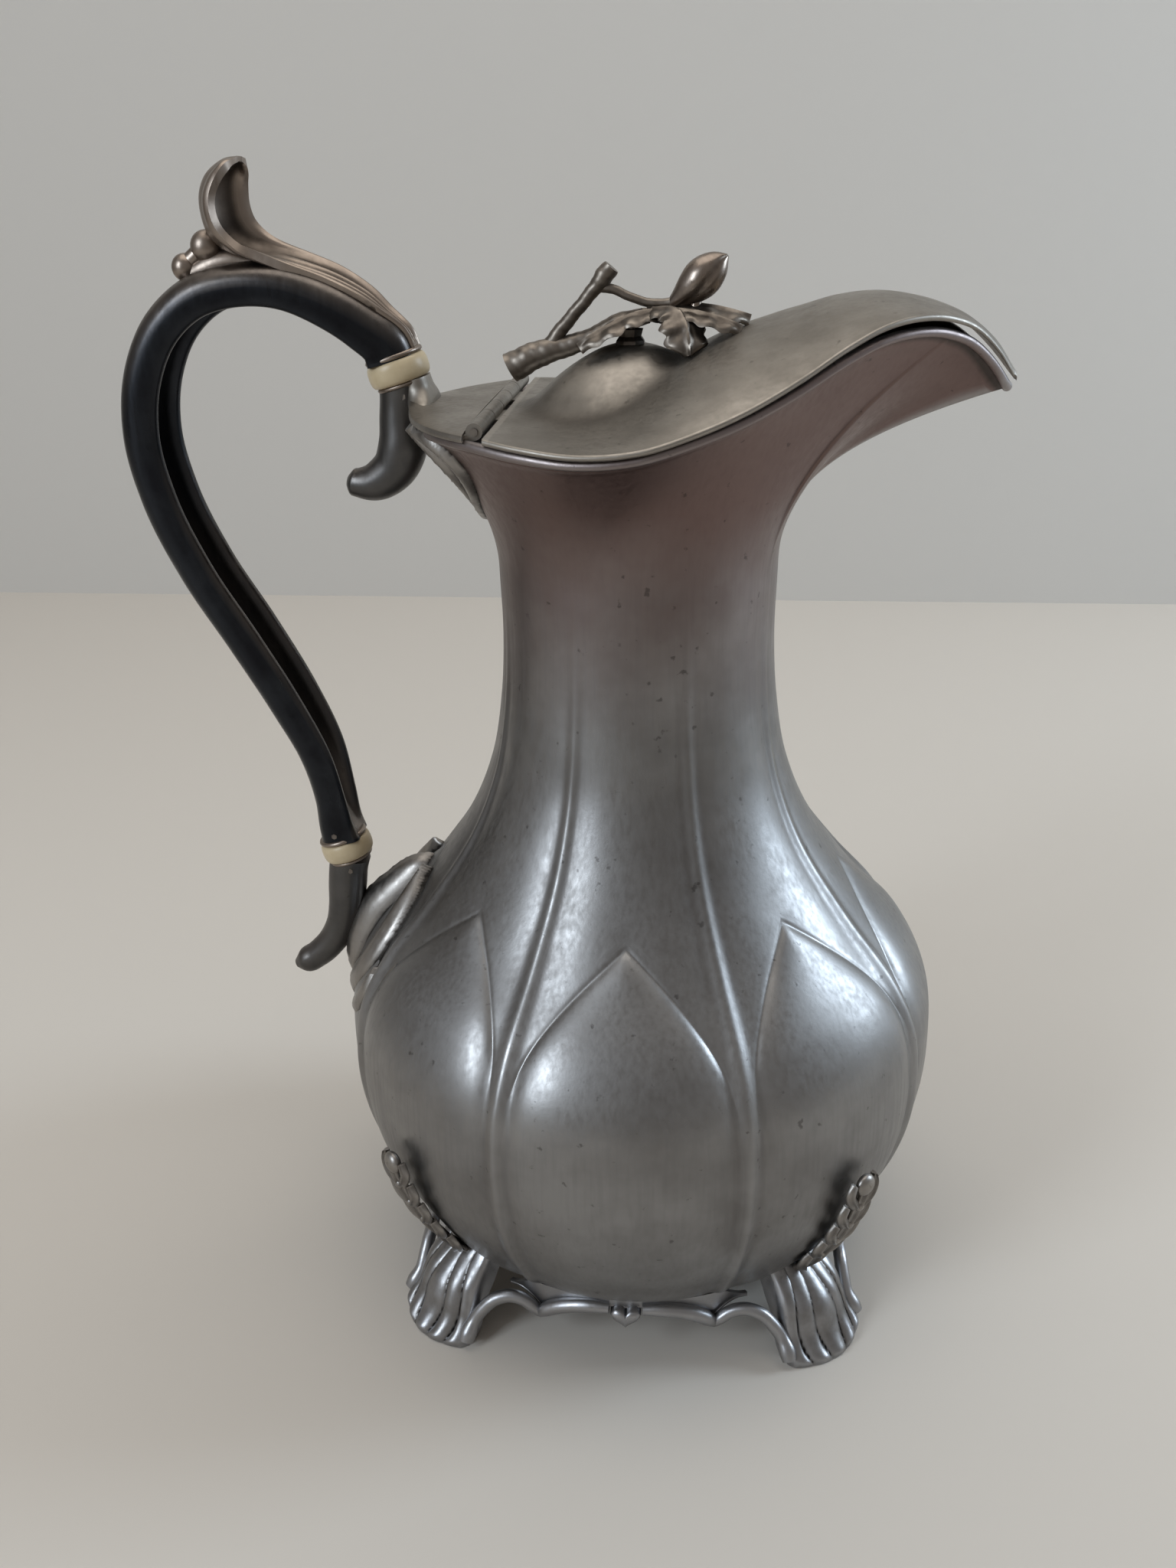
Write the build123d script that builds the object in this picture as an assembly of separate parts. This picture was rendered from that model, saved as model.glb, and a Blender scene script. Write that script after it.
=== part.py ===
from build123d import *
import math
import os

import numpy as np

# Hot-water jug in pewter with a hinged lid, standing on its feet at z = 0.
# The spout points along +X, the handle along -X, and the axis of the body is Z. Sizes in mm.

BELLY_R = 70.2          # largest radius of the belly, across a panel
PANELS = 8              # lobes round the body
WALL = 1.3              # sheet thickness of the body
BASE_Z = 10.5           # underside of the body
BASE_R = 41.0           # radius there
FLOOR_R = 36.0          # radius of the disc let into the bottom
NECK_Z = 175.0          # height where the neck starts to flare into the mouth
NECK_R = 30.0           # radius of the neck there
MOUTH_R = 46.4          # radius of the round back of the mouth
BACK_Z = 207.2          # height of the rim at the back
TIP_X = 75.4            # reach of the spout's tip
GROOVE = 1.3            # depth of the two grooves beside each rib, at the belly
RIB_FOOT = 1.9          # degrees from a rib's crest to the bottom of its grooves
RIB_SIDE = 5.5          # degrees from a rib's crest to where its panel is full again
PETAL_RISE = 0.9        # how far each embossed petal stands off the neck above it
PETAL_TIP_Z = 105.4     # height of a petal's point
PETAL_FULL_Z = 77.0     # height where a petal is as wide as its panel
PETAL_FOOT_Z = 63.0     # height where the petal has melted into the belly
RIM_BEAD = 0.7          # how far the rolled edge of the mouth stands out

LID_GAP = 0.4           # gap between the rim and the lid that rests over it
LID_SHEET = 1.2         # thickness of the lid
LID_LAP = 0.3           # how far the lid laps over the rim
LID_BACK_X = -26.3      # back edge of the lid
DOME_X, DOME_R, DOME_FLAT = -1.5, 20.0, 5.0   # raised boss of the lid and its flat top
DOME_Z = 219.0          # underside of the boss's flat top
DOME_H = 11.9           # height of the boss's curved side

HINGE_X, HINGE_Z = -28.6, 208.9
PIN_R = 0.75
BARREL_R = 1.6
HINGE_CLEARANCE = 0.05  # radial gap between the pin and the lid's knuckles
KNUCKLE_ENDS = (6.0, 18.0, 33.6)   # where the knuckles change over, from the middle outwards
KNUCKLE_GAP = 0.3       # play between neighbouring knuckles
PLATE_SHEET = 1.2       # fixed plate behind the hinge
PLATE_FRONT_X = -30.6

FOOT_ANGLES = {"front_left": -45, "front_right": 45, "back_left": -135, "back_right": 135}
APRON_ANGLES = {"left": -90, "front": 0, "right": 90, "back": 180}

UPPER_INSULATOR = (-49.7, 215.6)   # centre of the upper washer, as x and z
LOWER_INSULATOR = (-70.7, 104.4)
UPPER_AXIS = (0.29, -0.957)        # direction from the handle to the body fitting
LOWER_AXIS = (0.28, -0.96)
UPPER_WASHER_R, LOWER_WASHER_R = 6.5, 6.15
WASHER_T = 4.8
DOWEL_R = 2.4           # half the diagonal of the square dowels inside the washers
DOWEL_DEPTH = 4.5
RIVET_R = 0.7
RIVET_DEPTH = 2.6       # distance from a washer's face to the rivet beside it
RIVET_HALVES = ((-1, 5.4), (1, 4.6))   # half lengths of the rivets, on the handle's side and the body's

STUD_R = 1.1            # stud that holds the finial on the lid
FINIAL_Z = 223.4        # underside of the finial's leaf, over the boss

# Meridian of the body through the middle of a panel, as height and radius.
BODY_MERIDIAN = [(BASE_Z, BASE_R), (17, 53.4), (28, 61.6), (40, 66.9), (52, 69.7), (64, BELLY_R),
                 (76, 68.3), (86, 63.2), (100, 51.3), (115, 40.3), (130, 33.8), (145, 30.9),
                 (160, 29.8), (NECK_Z, NECK_R)]
# Side view of the mouth's edge, from the back to the tip, as reach and height.
RIM_LINE = [(-50, BACK_Z), (-32, BACK_Z), (-31, BACK_Z), (-20, 206.3), (-8, 205.5), (2, 206.3), (12, 208.8),
            (22, 212.2), (32, 216.9), (40, 221.3), (47, 224.2), (54, 225.2), (60, 224.5),
            (66, 221.9), (71, 217.4), (TIP_X, 212.0), (82, 205.0)]
# Height that the lid's middle stands above its edges.
LID_CROWN = [(-26, 0.0), (-12, 0.5), (-2, 3.0), (8, 7.6), (18, 10.0), (28, 9.0), (38, 6.2), (48, 3.0),
             (58, 0.9), (66, 0.6), (72, 0.9), (76, 0.4)]
# Post under the finial's leaf, as height over the boss and radius.
POST_TURNING = [(0.0, 3.3), (1.0, 3.0), (1.8, 2.4)]
# Lobes of the finial's leaf from its middle outwards, each as its points and their half widths.
LEAF_LOBES = [([(-4, 0, 224.2), (3, 0, 225.0), (10, 0, 225.7), (18, 0, 226.2), (25.5, 0, 227.0)],
               [3.4, 5.0, 6.5, 4.8, 0.8]),
              ([(-1, 0, 224.2), (4, -5, 224.6), (8, -9, 223.0), (10.5, -12, 220.6)], [3.0, 4.0, 3.2, 0.7]),
              ([(-1, 0, 224.2), (4, 5, 224.6), (8, 9, 223.0), (10.5, 12, 220.6)], [3.0, 4.0, 3.2, 0.7]),
              ([(-3, 0, 224.2), (-6, -5, 224.8), (-8.5, -9, 223.6)], [2.6, 3.0, 0.7])]
# Bud, cut stem, twig and tendril of the finial, as x, z and radius.
BUD = [(7.0, 228.2, 1.6), (9.5, 230.0, 3.4), (12.3, 232.4, 4.3), (15.2, 234.9, 3.0), (17.0, 236.4, 0.9)]
STEM = [(-25.6, 216.0, 3.0), (-23.0, 217.2, 2.9), (-19.4, 218.9, 2.5), (-15.3, 219.8, 2.2), (-11.2, 221.1, 1.9),
        (-8.0, 222.5, 1.8), (-4.5, 223.7, 1.7)]
TWIG = [(-18.4, 219.6, 2.0), (-12.5, 226.5, 1.8), (-5.5, 234.7, 1.6)]
TENDRIL = [(-8.4, 231.6, 0.9), (-2.0, 229.9, 0.9), (4.2, 228.4, 0.9), (9.0, 229.2, 0.9)]
# Spine of the thumb leaf, as x, z, half width and depth of its dish.
THUMB_SPINE = [(-49.5, 224.0, 2.2, 0.3), (-55.5, 229.2, 3.2, 0.6), (-62.5, 233.8, 4.4, 1.4),
               (-70.0, 236.8, 5.6, 2.4), (-77.0, 238.0, 6.4, 3.2), (-82.8, 239.8, 6.7, 3.6),
               (-86.2, 244.6, 6.5, 3.2), (-86.3, 250.0, 5.8, 2.4), (-83.6, 253.8, 4.0, 1.4),
               (-80.2, 256.0, 1.6, 0.4)]
THUMB_SHEET = (0.9, 0.7)   # thickness of the thumb leaf below and above its spine
BERRIES = [((-87.6, 0, 240.6), 2.7), ((-92.6, 0, 236.2), 2.6)]   # centre and radius
BERRY_STALKS = [((-88.5, 239.6), (-91.8, 236.8)), ((-87.2, 239.2), (-86.6, 234.6))]
# Tails between the washers and the body, below their first section, as x, z and radius.
TAIL_TOP_R = 4.8
UPPER_TAIL = [(-49.6, 206, 4.8), (-49.8, 200, 5.2), (-52.0, 195.5, 4.8), (-57.0, 192.3, 4.2),
              (-60.6, 192.3, 3.0), (-62.0, 192.6, 1.8)]
LOWER_TAIL = [(-71.2, 95.5, 4.6), (-72.0, 90.0, 4.5), (-73.5, 84.0, 4.0), (-76.5, 78.0, 3.6),
              (-80.6, 73.6, 3.4), (-84.5, 71.2, 2.4), (-86.0, 70.6, 1.4)]
# Leaf castings at the back, as height, half width and thickness.
NECK_LEAF = [(186.5, 0.8, 0.6), (189.5, 4.5, 1.6), (193.5, 7.5, 2.6), (197.5, 6.0, 5.2), (201.5, 7.5, 5.6),
             (205.0, 5.5, 4.0), (207.0, 4.0, 2.4)]
LOWER_LEAF = [(69.0, 2.0, 1.0), (74.0, 9.0, 2.4), (79.0, 13.0, 5.0), (84.0, 14.0, 7.4), (89.0, 11.0, 8.0),
              (94.0, 8.5, 4.4), (98.0, 5.0, 2.2), (100.8, 1.5, 1.0)]
SPRAY = [(19.0, 4.5, 1.4), (23.0, 6.2, 2.2), (27.0, 4.0, 2.0), (31.5, 6.8, 2.6), (36.0, 4.2, 2.2),
         (41.0, 6.4, 3.0), (45.5, 3.8, 2.6), (50.5, 4.8, 4.2), (54.5, 1.4, 3.6)]
# Lug from the back plate to the upper washer: near end, far end and half width of its two lower levels.
LUG_LEVELS = [((-48.5, 203.5), (-44.0, 203.5), 5.4), ((-48.2, 208.4), (-42.0, 208.4), 5.4)]
LUG_TOP = (1.0, 6.0)       # where it meets the washer, from the washer's middle
LUG_TOP_HALF = 4.6
# Feet, as height, reach of the middle, half width and inner side; the corners stand back a little.
FOOT = [(0.0, 70.4, 12.2, 66.0), (2.4, 69.0, 11.8, 64.8), (5.0, 67.4, 10.8, 63.4), (9.0, 66.2, 9.4, 61.4),
        (13.0, 64.2, 8.2, 56.5), (16.4, 61.0, 7.2, 51.0), (19.5, 57.6, 6.6, 50.0)]
FOOT_CORNER = 4.2          # how far the corners of a foot stand back from its middle
REED_OUT, REED_IN = 0.45, -0.25    # the reeds down a foot and the hollows between them
VOLUTE_R = 2.5
VOLUTE_REACH, VOLUTE_Z = 65.4, 2.3
VOLUTE_SPAN = (11.0, 14.0)
# Lower edge of one apron, as degrees from its middle and height.
APRON_EDGE = [(-36, 15.0), (-31, 13.2), (-27.5, 11.0), (-25, 9.6), (-22.5, 8.0), (-20.5, 10.6), (-18, 13.0),
              (-14, 14.8), (-9, 15.6), (-4.4, 15.3), (-2.6, 13.0), (0, 11.5)]
APRON_R, APRON_SHEET, APRON_TOP = 53.2, 2.0, 17.6
APRON_SWING = 4.0          # how far its ends swing out to the feet
# Line through the handle from its upper end to its lower one, with half depth and half width.
HANDLE_PATH = [(-55.5, 224.2, 4.7, 6.8), (-62.0, 228.8, 4.6, 7.4), (-71.0, 232.4, 4.3, 7.8),
               (-80.0, 233.0, 4.2, 7.9), (-90.2, 230.5, 4.3, 8.0), (-97.5, 224.7, 4.4, 8.0),
               (-102.9, 215.0, 4.5, 8.0), (-105.0, 203.0, 4.55, 8.0), (-103.0, 189.3, 4.6, 8.0),
               (-97.0, 173.6, 4.6, 8.0), (-88.0, 157.2, 4.6, 8.0), (-80.2, 142.0, 4.5, 7.6),
               (-74.4, 129.0, 4.2, 6.8), (-71.9, 117.4, 4.0, 5.8)]
GRIP_TOP, GRIP_FOOT = (4.8, 5.6), (4.8, 5.2)   # half depth and half width at the two washers


def along(stations, x):
    """Value at x of a smooth curve through the stations, level past both ends."""
    xs = np.array([s[0] for s in stations], float)
    ys = np.array([s[1] for s in stations], float)
    slopes = np.gradient(ys, xs)
    x = float(np.clip(x, xs[0], xs[-1]))
    i = int(np.clip(np.searchsorted(xs, x) - 1, 0, len(xs) - 2))
    h = xs[i + 1] - xs[i]
    t = (x - xs[i]) / h
    return float((2 * t**3 - 3 * t**2 + 1) * ys[i] + (t**3 - 2 * t**2 + t) * h * slopes[i]
                 + (3 * t**2 - 2 * t**3) * ys[i + 1] + (t**3 - t**2) * h * slopes[i + 1])


def flat_faces(a, b, c, d):
    """One flat face through four points, or two triangles where the four don't lie in a plane."""
    normal = (b - a).cross(d - a)
    if normal.length > 1e-9 and abs(normal.normalized().dot(c - a)) < 1e-6:
        corners = [(a, b, c, d)]
    else:
        corners = [(a, b, c), (a, c, d)]
    return [Face(Wire.make_polygon(points, close=True)) for points in corners]


def faceted(rings, closed=False):
    """A solid with a flat-faced skin through rings of points, flat at both ends unless it closes."""
    rings = [[Vector(*p) for p in ring] for ring in rings]
    faces = [] if closed else [Face(Wire.make_polygon(ring, close=True)) for ring in (rings[0], rings[-1])]
    pairs = list(zip(rings, rings[1:])) + ([(rings[-1], rings[0])] if closed else [])
    for low, high in pairs:
        for i in range(len(low)):
            faces += flat_faces(low[i - 1], low[i], high[i], high[i - 1])
    solid = Solid(Shell(faces))
    return solid if solid.volume > 0 else -solid


def rod(start, end, radius):
    """A round rod between two points."""
    start, end = Vector(*start), Vector(*end)
    return extrude(Plane(start, z_dir=end - start) * Circle(radius), (end - start).length)


def round_tube(stations, sides=8, first=None):
    """A solid with an even flat-sided section through (x, z, radius) stations."""
    path = [(x, z) for x, z, _ in stations]
    return tube(path, [polygon(r, r, sides) for _, _, r in stations], first=first)


def tube(path, sections, first=None, last=None):
    """A solid along a path of (x, z) points in the plane y = 0.

    Each section is a list of (y, d) points, with d measured to the left of the path. The path's
    own direction is used at its ends, unless first or last gives another."""
    points = np.array(path, float)
    directions = np.gradient(points, axis=0)
    if first is not None:
        directions[0] = first
    if last is not None:
        directions[-1] = last
    directions /= np.linalg.norm(directions, axis=1, keepdims=True)
    rings = []
    for (x, z), (tx, tz), section in zip(points, directions, sections):
        rings.append([(x - tz * d, y, z + tx * d) for y, d in section])
    return faceted(rings)


def polygon(half_width, half_depth, sides=8):
    """An oval of the given size with flat sides, as (y, d) points."""
    angles = [2 * math.pi * (i + 0.5) / sides for i in range(sides)]
    return [(half_width * math.cos(a), half_depth * math.sin(a)) for a in angles]


def stalk(start, end, radius):
    """A thin flat-sided bar between two (x, z) points."""
    return tube([start, end], [polygon(radius, radius, 6)] * 2)


def mouth_half_width(x):
    """Half width of the mouth in plan: a circle at the back that draws in to the tip."""
    turn = 4.0
    if x <= turn:
        return math.sqrt(max(MOUTH_R**2 - x**2, 0.0))
    s = min((x - turn) / (TIP_X - turn), 1.0)
    return math.sqrt(MOUTH_R**2 - turn**2) * (1 - s**1.25) ** 0.82


def mouth_radius(angle):
    """Distance from the axis to the mouth's edge in plan, in the direction angle."""
    low, high = 0.0, TIP_X + 5
    for _ in range(40):
        mid = (low + high) / 2
        x, y = mid * math.cos(angle), abs(mid * math.sin(angle))
        inside = x < TIP_X and y <= mouth_half_width(x)
        low, high = (mid, high) if inside else (low, mid)
    return low


def relief(off, z):
    """How far the wall stands off its smooth form, off degrees from a rib's crest."""
    fade = min(max((170 - z) / 40, 0.0), 1.0)
    radius = along(BODY_MERIDIAN, z)
    groove = -GROOVE * fade * radius / BELLY_R if abs(off - RIB_FOOT) < 0.01 else 0.0
    share = min(max((PETAL_TIP_Z + 0.1 - z) / (PETAL_TIP_Z - PETAL_FULL_Z), 0.0), 1.0)
    half_panel = 180 / PANELS
    petal_half = (half_panel - RIB_SIDE) * (1 - (1 - share) ** 2) ** 0.75
    inside = half_panel - off < petal_half + 0.01 and off >= RIB_SIDE - 0.01 and share > 0
    melt = min(max((z - PETAL_FOOT_Z) / (PETAL_FULL_Z - PETAL_FOOT_Z), 0.0), 1.0)
    return groove + (PETAL_RISE * melt if inside else 0.0)


def body_ring(z):
    """A level ring of the body below the mouth, eight points to a panel."""
    half_panel = 180 / PANELS
    middle = (half_panel + RIB_SIDE) / 2
    offs = [half_panel, middle, RIB_SIDE, RIB_FOOT, 0.0, -RIB_FOOT, -RIB_SIDE, -middle]
    ring = []
    for panel in range(PANELS):
        for off in offs:
            angle = math.radians((2 * panel + 1) * half_panel - off)
            r = along(BODY_MERIDIAN, z) + relief(abs(off), z)
            ring.append((r * math.cos(angle), r * math.sin(angle), z))
    return ring


def mouth_ring(h):
    """A ring part way up the flaring mouth: h is 0 at the neck and 1 at the edge."""
    ring = []
    for x, y, z in body_ring(NECK_Z):
        a = math.atan2(y, x)
        edge_angle = a - 0.42 * math.sin(a)
        edge_r = mouth_radius(edge_angle)
        edge_z = along(RIM_LINE, edge_r * math.cos(edge_angle))
        degrees = abs(math.degrees(edge_angle))
        power = 1.9 - 0.4 * math.exp(-(((degrees - 38) / 25) ** 2)) + math.exp(-((degrees / 7) ** 2))
        angle = a + (edge_angle - a) * h**1.4
        radius = NECK_R + (edge_r - NECK_R) * h**power
        ring.append((radius * math.cos(angle), radius * math.sin(angle), NECK_Z + (edge_z - NECK_Z) * h))
    return ring


def moved_out(rings, distances):
    """The same rings moved along the wall's outward normal, each by its own distance."""
    around = np.roll(rings, -1, axis=1) - np.roll(rings, 1, axis=1)
    upward = np.gradient(rings, axis=0)
    normal = np.cross(around, upward)
    normal /= np.linalg.norm(normal, axis=2, keepdims=True)
    return rings + np.asarray(distances)[:, None, None] * normal


LEVELS = (BASE_Z, 17, 29, 39, 50, 63, 77, 90, 98.5, PETAL_TIP_Z, 107.5, 120, 138, 162)
FLARES = (0.02, 0.3, 0.55, 0.76, 0.92, 0.96, 1.0)
EDGE_ROLL = (0, 0, 0, 0, 0, RIM_BEAD, RIM_BEAD)
INSIDE_LEVELS = (20, 17, 16, 15, 14, 13, 12, 11, 10, 7, 5, 2, 0)
SMOOTH = np.array([body_ring(z) for z in LEVELS] + [mouth_ring(h) for h in FLARES])
OUTSIDE = moved_out(SMOOTH, [0] * len(LEVELS) + list(EDGE_ROLL))
OUTSIDE[-1, :, 2] = [along(RIM_LINE, x) for x in OUTSIDE[-1, :, 0]]


def floor_ring(z):
    """The edge of the disc that closes the bottom, at a height."""
    angles = [math.atan2(y, x) for x, y, _ in SMOOTH[0]]
    return [(FLOOR_R * math.cos(a), FLOOR_R * math.sin(a), z) for a in angles]


def body_shell():
    """The lobed body: its skin goes up the outside, over the edge, down the inside and under."""
    inside = moved_out(SMOOTH, [-WALL] * len(SMOOTH))
    inside[0, :, 2] = BASE_Z + WALL
    inside[-1, :, 2] = [along(RIM_LINE, x) for x in inside[-1, :, 0]]
    rings = list(OUTSIDE) + [inside[i] for i in INSIDE_LEVELS]
    return faceted(rings + [floor_ring(BASE_Z + WALL), floor_ring(BASE_Z)], closed=True)


def body_form(low, high):
    """The body's outside form as a solid block, between two of its rings."""
    return faceted([OUTSIDE[i] for i in range(low, high + 1)])


def back_radius(z):
    """Radius of the body at its back, up to the rim."""
    if z < NECK_Z:
        return along(BODY_MERIDIAN, z)
    return NECK_R + (MOUTH_R - NECK_R) * ((z - NECK_Z) / (BACK_Z - NECK_Z)) ** 1.9


def wall_plate(stations, sunk=2.0):
    """A plate that hugs the body at its back, as (height, half width, thickness) stations."""
    rings = []
    for z, half_width, thickness in stations:
        r = back_radius(z)
        turns = [math.pi + s * half_width / r for s in (-1, -0.5, 0, 0.5, 1)]
        rises = (0.35, 0.8, 1.0, 0.8, 0.35)
        outer = [((r + thickness * k) * math.cos(a), (r + thickness * k) * math.sin(a), z)
                 for a, k in zip(turns, rises)]
        inner = [((r - sunk) * math.cos(a), (r - sunk) * math.sin(a), z) for a in (turns[-1], turns[0])]
        rings.append(outer + inner)
    return faceted(rings)


def lid_height(x, y, edge_z, half_width):
    """Height of the lid's underside: its crown between the edges, or its boss where that is higher."""
    crown = edge_z + along(LID_CROWN, x) * (1 - (y / half_width) ** 2)
    away = math.hypot(x - DOME_X, y) - DOME_FLAT
    share = min(max(away / (DOME_R - DOME_FLAT), 0.0), 1.0)
    boss = DOME_Z - DOME_H * (1 - math.cos(share * math.pi / 2))
    return max(crown, boss) if share < 1 else crown


def lid_plate():
    """The raised lid, in sections across it at the places of the rim's own points."""
    shares = (-1, -0.8, -0.55, -0.3, -0.07, 0.07, 0.3, 0.55, 0.8, 1)
    rim = [p for p in OUTSIDE[-1] if p[1] >= 0 and p[0] > LID_BACK_X + 1]
    back = (LID_BACK_X, math.sqrt(MOUTH_R**2 - LID_BACK_X**2), along(RIM_LINE, LID_BACK_X))
    flat = [(x, mouth_half_width(x), along(RIM_LINE, x)) for x in (DOME_X - 3.6, DOME_X + 3.6)]
    stations = sorted([back] + flat + [tuple(p) for p in rim], key=lambda p: p[0])
    rings = []
    for x, y, z in stations:
        half = max(y, 0.6) + LID_LAP
        bottom = [(x, s * half, lid_height(x, s * half, z + LID_GAP, half)) for s in shares]
        top = [(px, py, pz + LID_SHEET) for px, py, pz in reversed(bottom)]
        rings.append(bottom + top)
    return faceted(rings)


def hinge_knuckle(low, high, bore, tab_end, tab_low, tab_high):
    """One knuckle of the hinge between two places along Y, with its tab and the pin's bore."""
    barrel = rod((HINGE_X, low, HINGE_Z), (HINGE_X, high, HINGE_Z), BARREL_R)
    tab = Pos((HINGE_X + tab_end) / 2, (low + high) / 2, (tab_low + tab_high) / 2) * Box(
        abs(tab_end - HINGE_X), high - low, tab_high - tab_low)
    return barrel + tab - rod((HINGE_X, low - 1, HINGE_Z), (HINGE_X, high + 1, HINGE_Z), bore)


def handle_section(half_depth, half_width, channel):
    """The grip's section: round outside, flat sides, two lips and a channel between them."""
    a, b = half_depth, half_width
    floor = a * (1 - 0.85 * channel)
    right = [(0.55 * b, -0.86 * a), (0.93 * b, -0.35 * a), (b, 0.4 * a), (0.84 * b, a), (0.56 * b, a),
             (0.4 * b, floor)]
    return [(0.0, -a)] + right + [(-y, d) for y, d in reversed(right)]


def washer_face(centre, axis, side):
    """Middle of a washer's face, on the handle's side for -1 and on the body's for +1."""
    return tuple(c + side * a * WASHER_T / 2 for c, a in zip(centre, axis))


def along_axis(point, axis, distance):
    """A point in the plane y = 0, moved along an axis, as x, y and z."""
    return (point[0] + axis[0] * distance, 0.0, point[1] + axis[1] * distance)


def handle_grip():
    """The scrolled handle, from the upper washer to the lower one."""
    start = washer_face(UPPER_INSULATOR, UPPER_AXIS, -1)
    end = washer_face(LOWER_INSULATOR, LOWER_AXIS, -1)
    path = [start] + [(x, z) for x, z, _, _ in HANDLE_PATH] + [end]
    sizes = [GRIP_TOP] + [(a, b) for _, _, a, b in HANDLE_PATH] + [GRIP_FOOT]
    channels = [0, 0, 0.3, 0.8] + [1] * 9 + [0.6, 0, 0]
    sections = [handle_section(a, b, c) for (a, b), c in zip(sizes, channels)]
    return tube(path, sections, first=(-UPPER_AXIS[0], -UPPER_AXIS[1]), last=LOWER_AXIS)


def thumb_leaf():
    """The spoon-shaped leaf over the handle's top, for the thumb that opens the lid."""
    below, above = THUMB_SHEET
    sections = []
    for _, _, b, dish in THUMB_SPINE:
        back = [(-b, -dish), (-0.55 * b, -0.3 * dish), (0.0, 0.0), (0.55 * b, -0.3 * dish), (b, -dish)]
        sections.append([(y, d + below) for y, d in back] + [(y, d - above) for y, d in reversed(back)])
    return tube([(x, z) for x, z, _, _ in THUMB_SPINE], sections)


def ball(centre, radius):
    """A small cast berry with flat facets."""
    x, y, z = centre
    rings = []
    for turn in (-80, -40, 0, 40, 80):
        r, up = radius * math.cos(math.radians(turn)), radius * math.sin(math.radians(turn))
        rings.append([(x + r * math.cos(k * math.pi / 4), y + r * math.sin(k * math.pi / 4), z + up)
                      for k in range(8)])
    return faceted(rings)


def apron():
    """One side of the apron under the belly, about the angle 0, with its pendant and two cusps."""
    lower = APRON_EDGE + [(-a, z) for a, z in reversed(APRON_EDGE[:-1])]
    rings = []
    for degrees, z in lower:
        share = max((abs(degrees) - 24) / 12, 0.0)
        top = APRON_TOP - 0.6 * share
        inner = APRON_R + APRON_SWING * share
        outer = inner + APRON_SHEET
        a = math.radians(degrees)
        section = [(inner, z), (outer, z), (outer, top), (inner - 1.0, top)]
        rings.append([(r * math.cos(a), r * math.sin(a), up) for r, up in section])
    return faceted(rings)


def foot():
    """One foot about the angle 0: an ogee toe with reeds down its face and a volute at each corner."""
    rings = []
    for z, outer, half, inner in FOOT:
        ring = []
        for step in range(-5, 6):
            u = step / 5
            reed = REED_OUT if step % 2 == 0 else REED_IN
            ring.append((outer + reed - FOOT_CORNER * u * u, u * half, z))
        rings.append(ring + [(inner - FOOT_CORNER * u * u, u * (half - 0.6), z) for u in (1, 0, -1)])
    volutes = []
    for side in (-1, 1):
        ends = [[(VOLUTE_REACH + u, side * y, VOLUTE_Z + v) for u, v in polygon(VOLUTE_R, VOLUTE_R)]
                for y in VOLUTE_SPAN]
        volutes.append(faceted(ends))
    return faceted(rings) + volutes


def lobe(path, widths, thickness=1.7):
    """One lobe of a cast leaf: a thin blade along a path of points, each with its half width."""
    points = np.array(path, float)
    directions = np.gradient(points, axis=0)
    rings = []
    for (x, y, z), (dx, dy, _), w in zip(points, directions, widths):
        length = math.hypot(dx, dy)
        sx, sy = -dy / length * w, dx / length * w
        rings.append([(x + sx, y + sy, z - 0.4), (x, y, z), (x - sx, y - sy, z - 0.4),
                      (x - sx, y - sy, z - 0.4 + thickness), (x, y, z + thickness),
                      (x + sx, y + sy, z - 0.4 + thickness)])
    return faceted(rings)


parts = {}

# Body, with a disc let into its bottom
low_form = body_form(0, 5)
belly_form = body_form(5, 9)
neck_top = [(x, y, BACK_Z + 20) for x, y, _ in OUTSIDE[-1]]
neck_form = faceted(list(OUTSIDE[13:]) + [neck_top])
parts["body_shell"] = body_shell()
parts["body_floor"] = faceted([floor_ring(BASE_Z), floor_ring(BASE_Z + WALL)])

# Hinge across the back of the mouth
plate_disc = rod((0, 0, BACK_Z), (0, 0, BACK_Z + PLATE_SHEET), MOUTH_R + 0.5)
parts["back_plate"] = plate_disc - Pos(PLATE_FRONT_X + 100, 0, BACK_Z) * Box(200, 200, 10)
middle, change, end = KNUCKLE_ENDS
fixed_tab = (PLATE_FRONT_X, BACK_Z + 0.1, BACK_Z + PLATE_SHEET - 0.1)
lid_back_z = along(RIM_LINE, LID_BACK_X) + LID_GAP
lid_tab = (LID_BACK_X, lid_back_z + 0.1, lid_back_z + LID_SHEET - 0.1)
fixed_spans = [(-end, -change), (-middle, middle), (change, end)]
lid_spans = [(-change + KNUCKLE_GAP, -middle - KNUCKLE_GAP), (middle + KNUCKLE_GAP, change - KNUCKLE_GAP)]
parts["fixed_knuckles"] = Compound([hinge_knuckle(*span, PIN_R, *fixed_tab) for span in fixed_spans])
parts["lid_knuckles"] = Compound(
    [hinge_knuckle(*span, PIN_R + HINGE_CLEARANCE, *lid_tab) for span in lid_spans])
parts["hinge_pin"] = rod((HINGE_X, -end - 0.4, HINGE_Z), (HINGE_X, end + 0.4, HINGE_Z), PIN_R)

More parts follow.
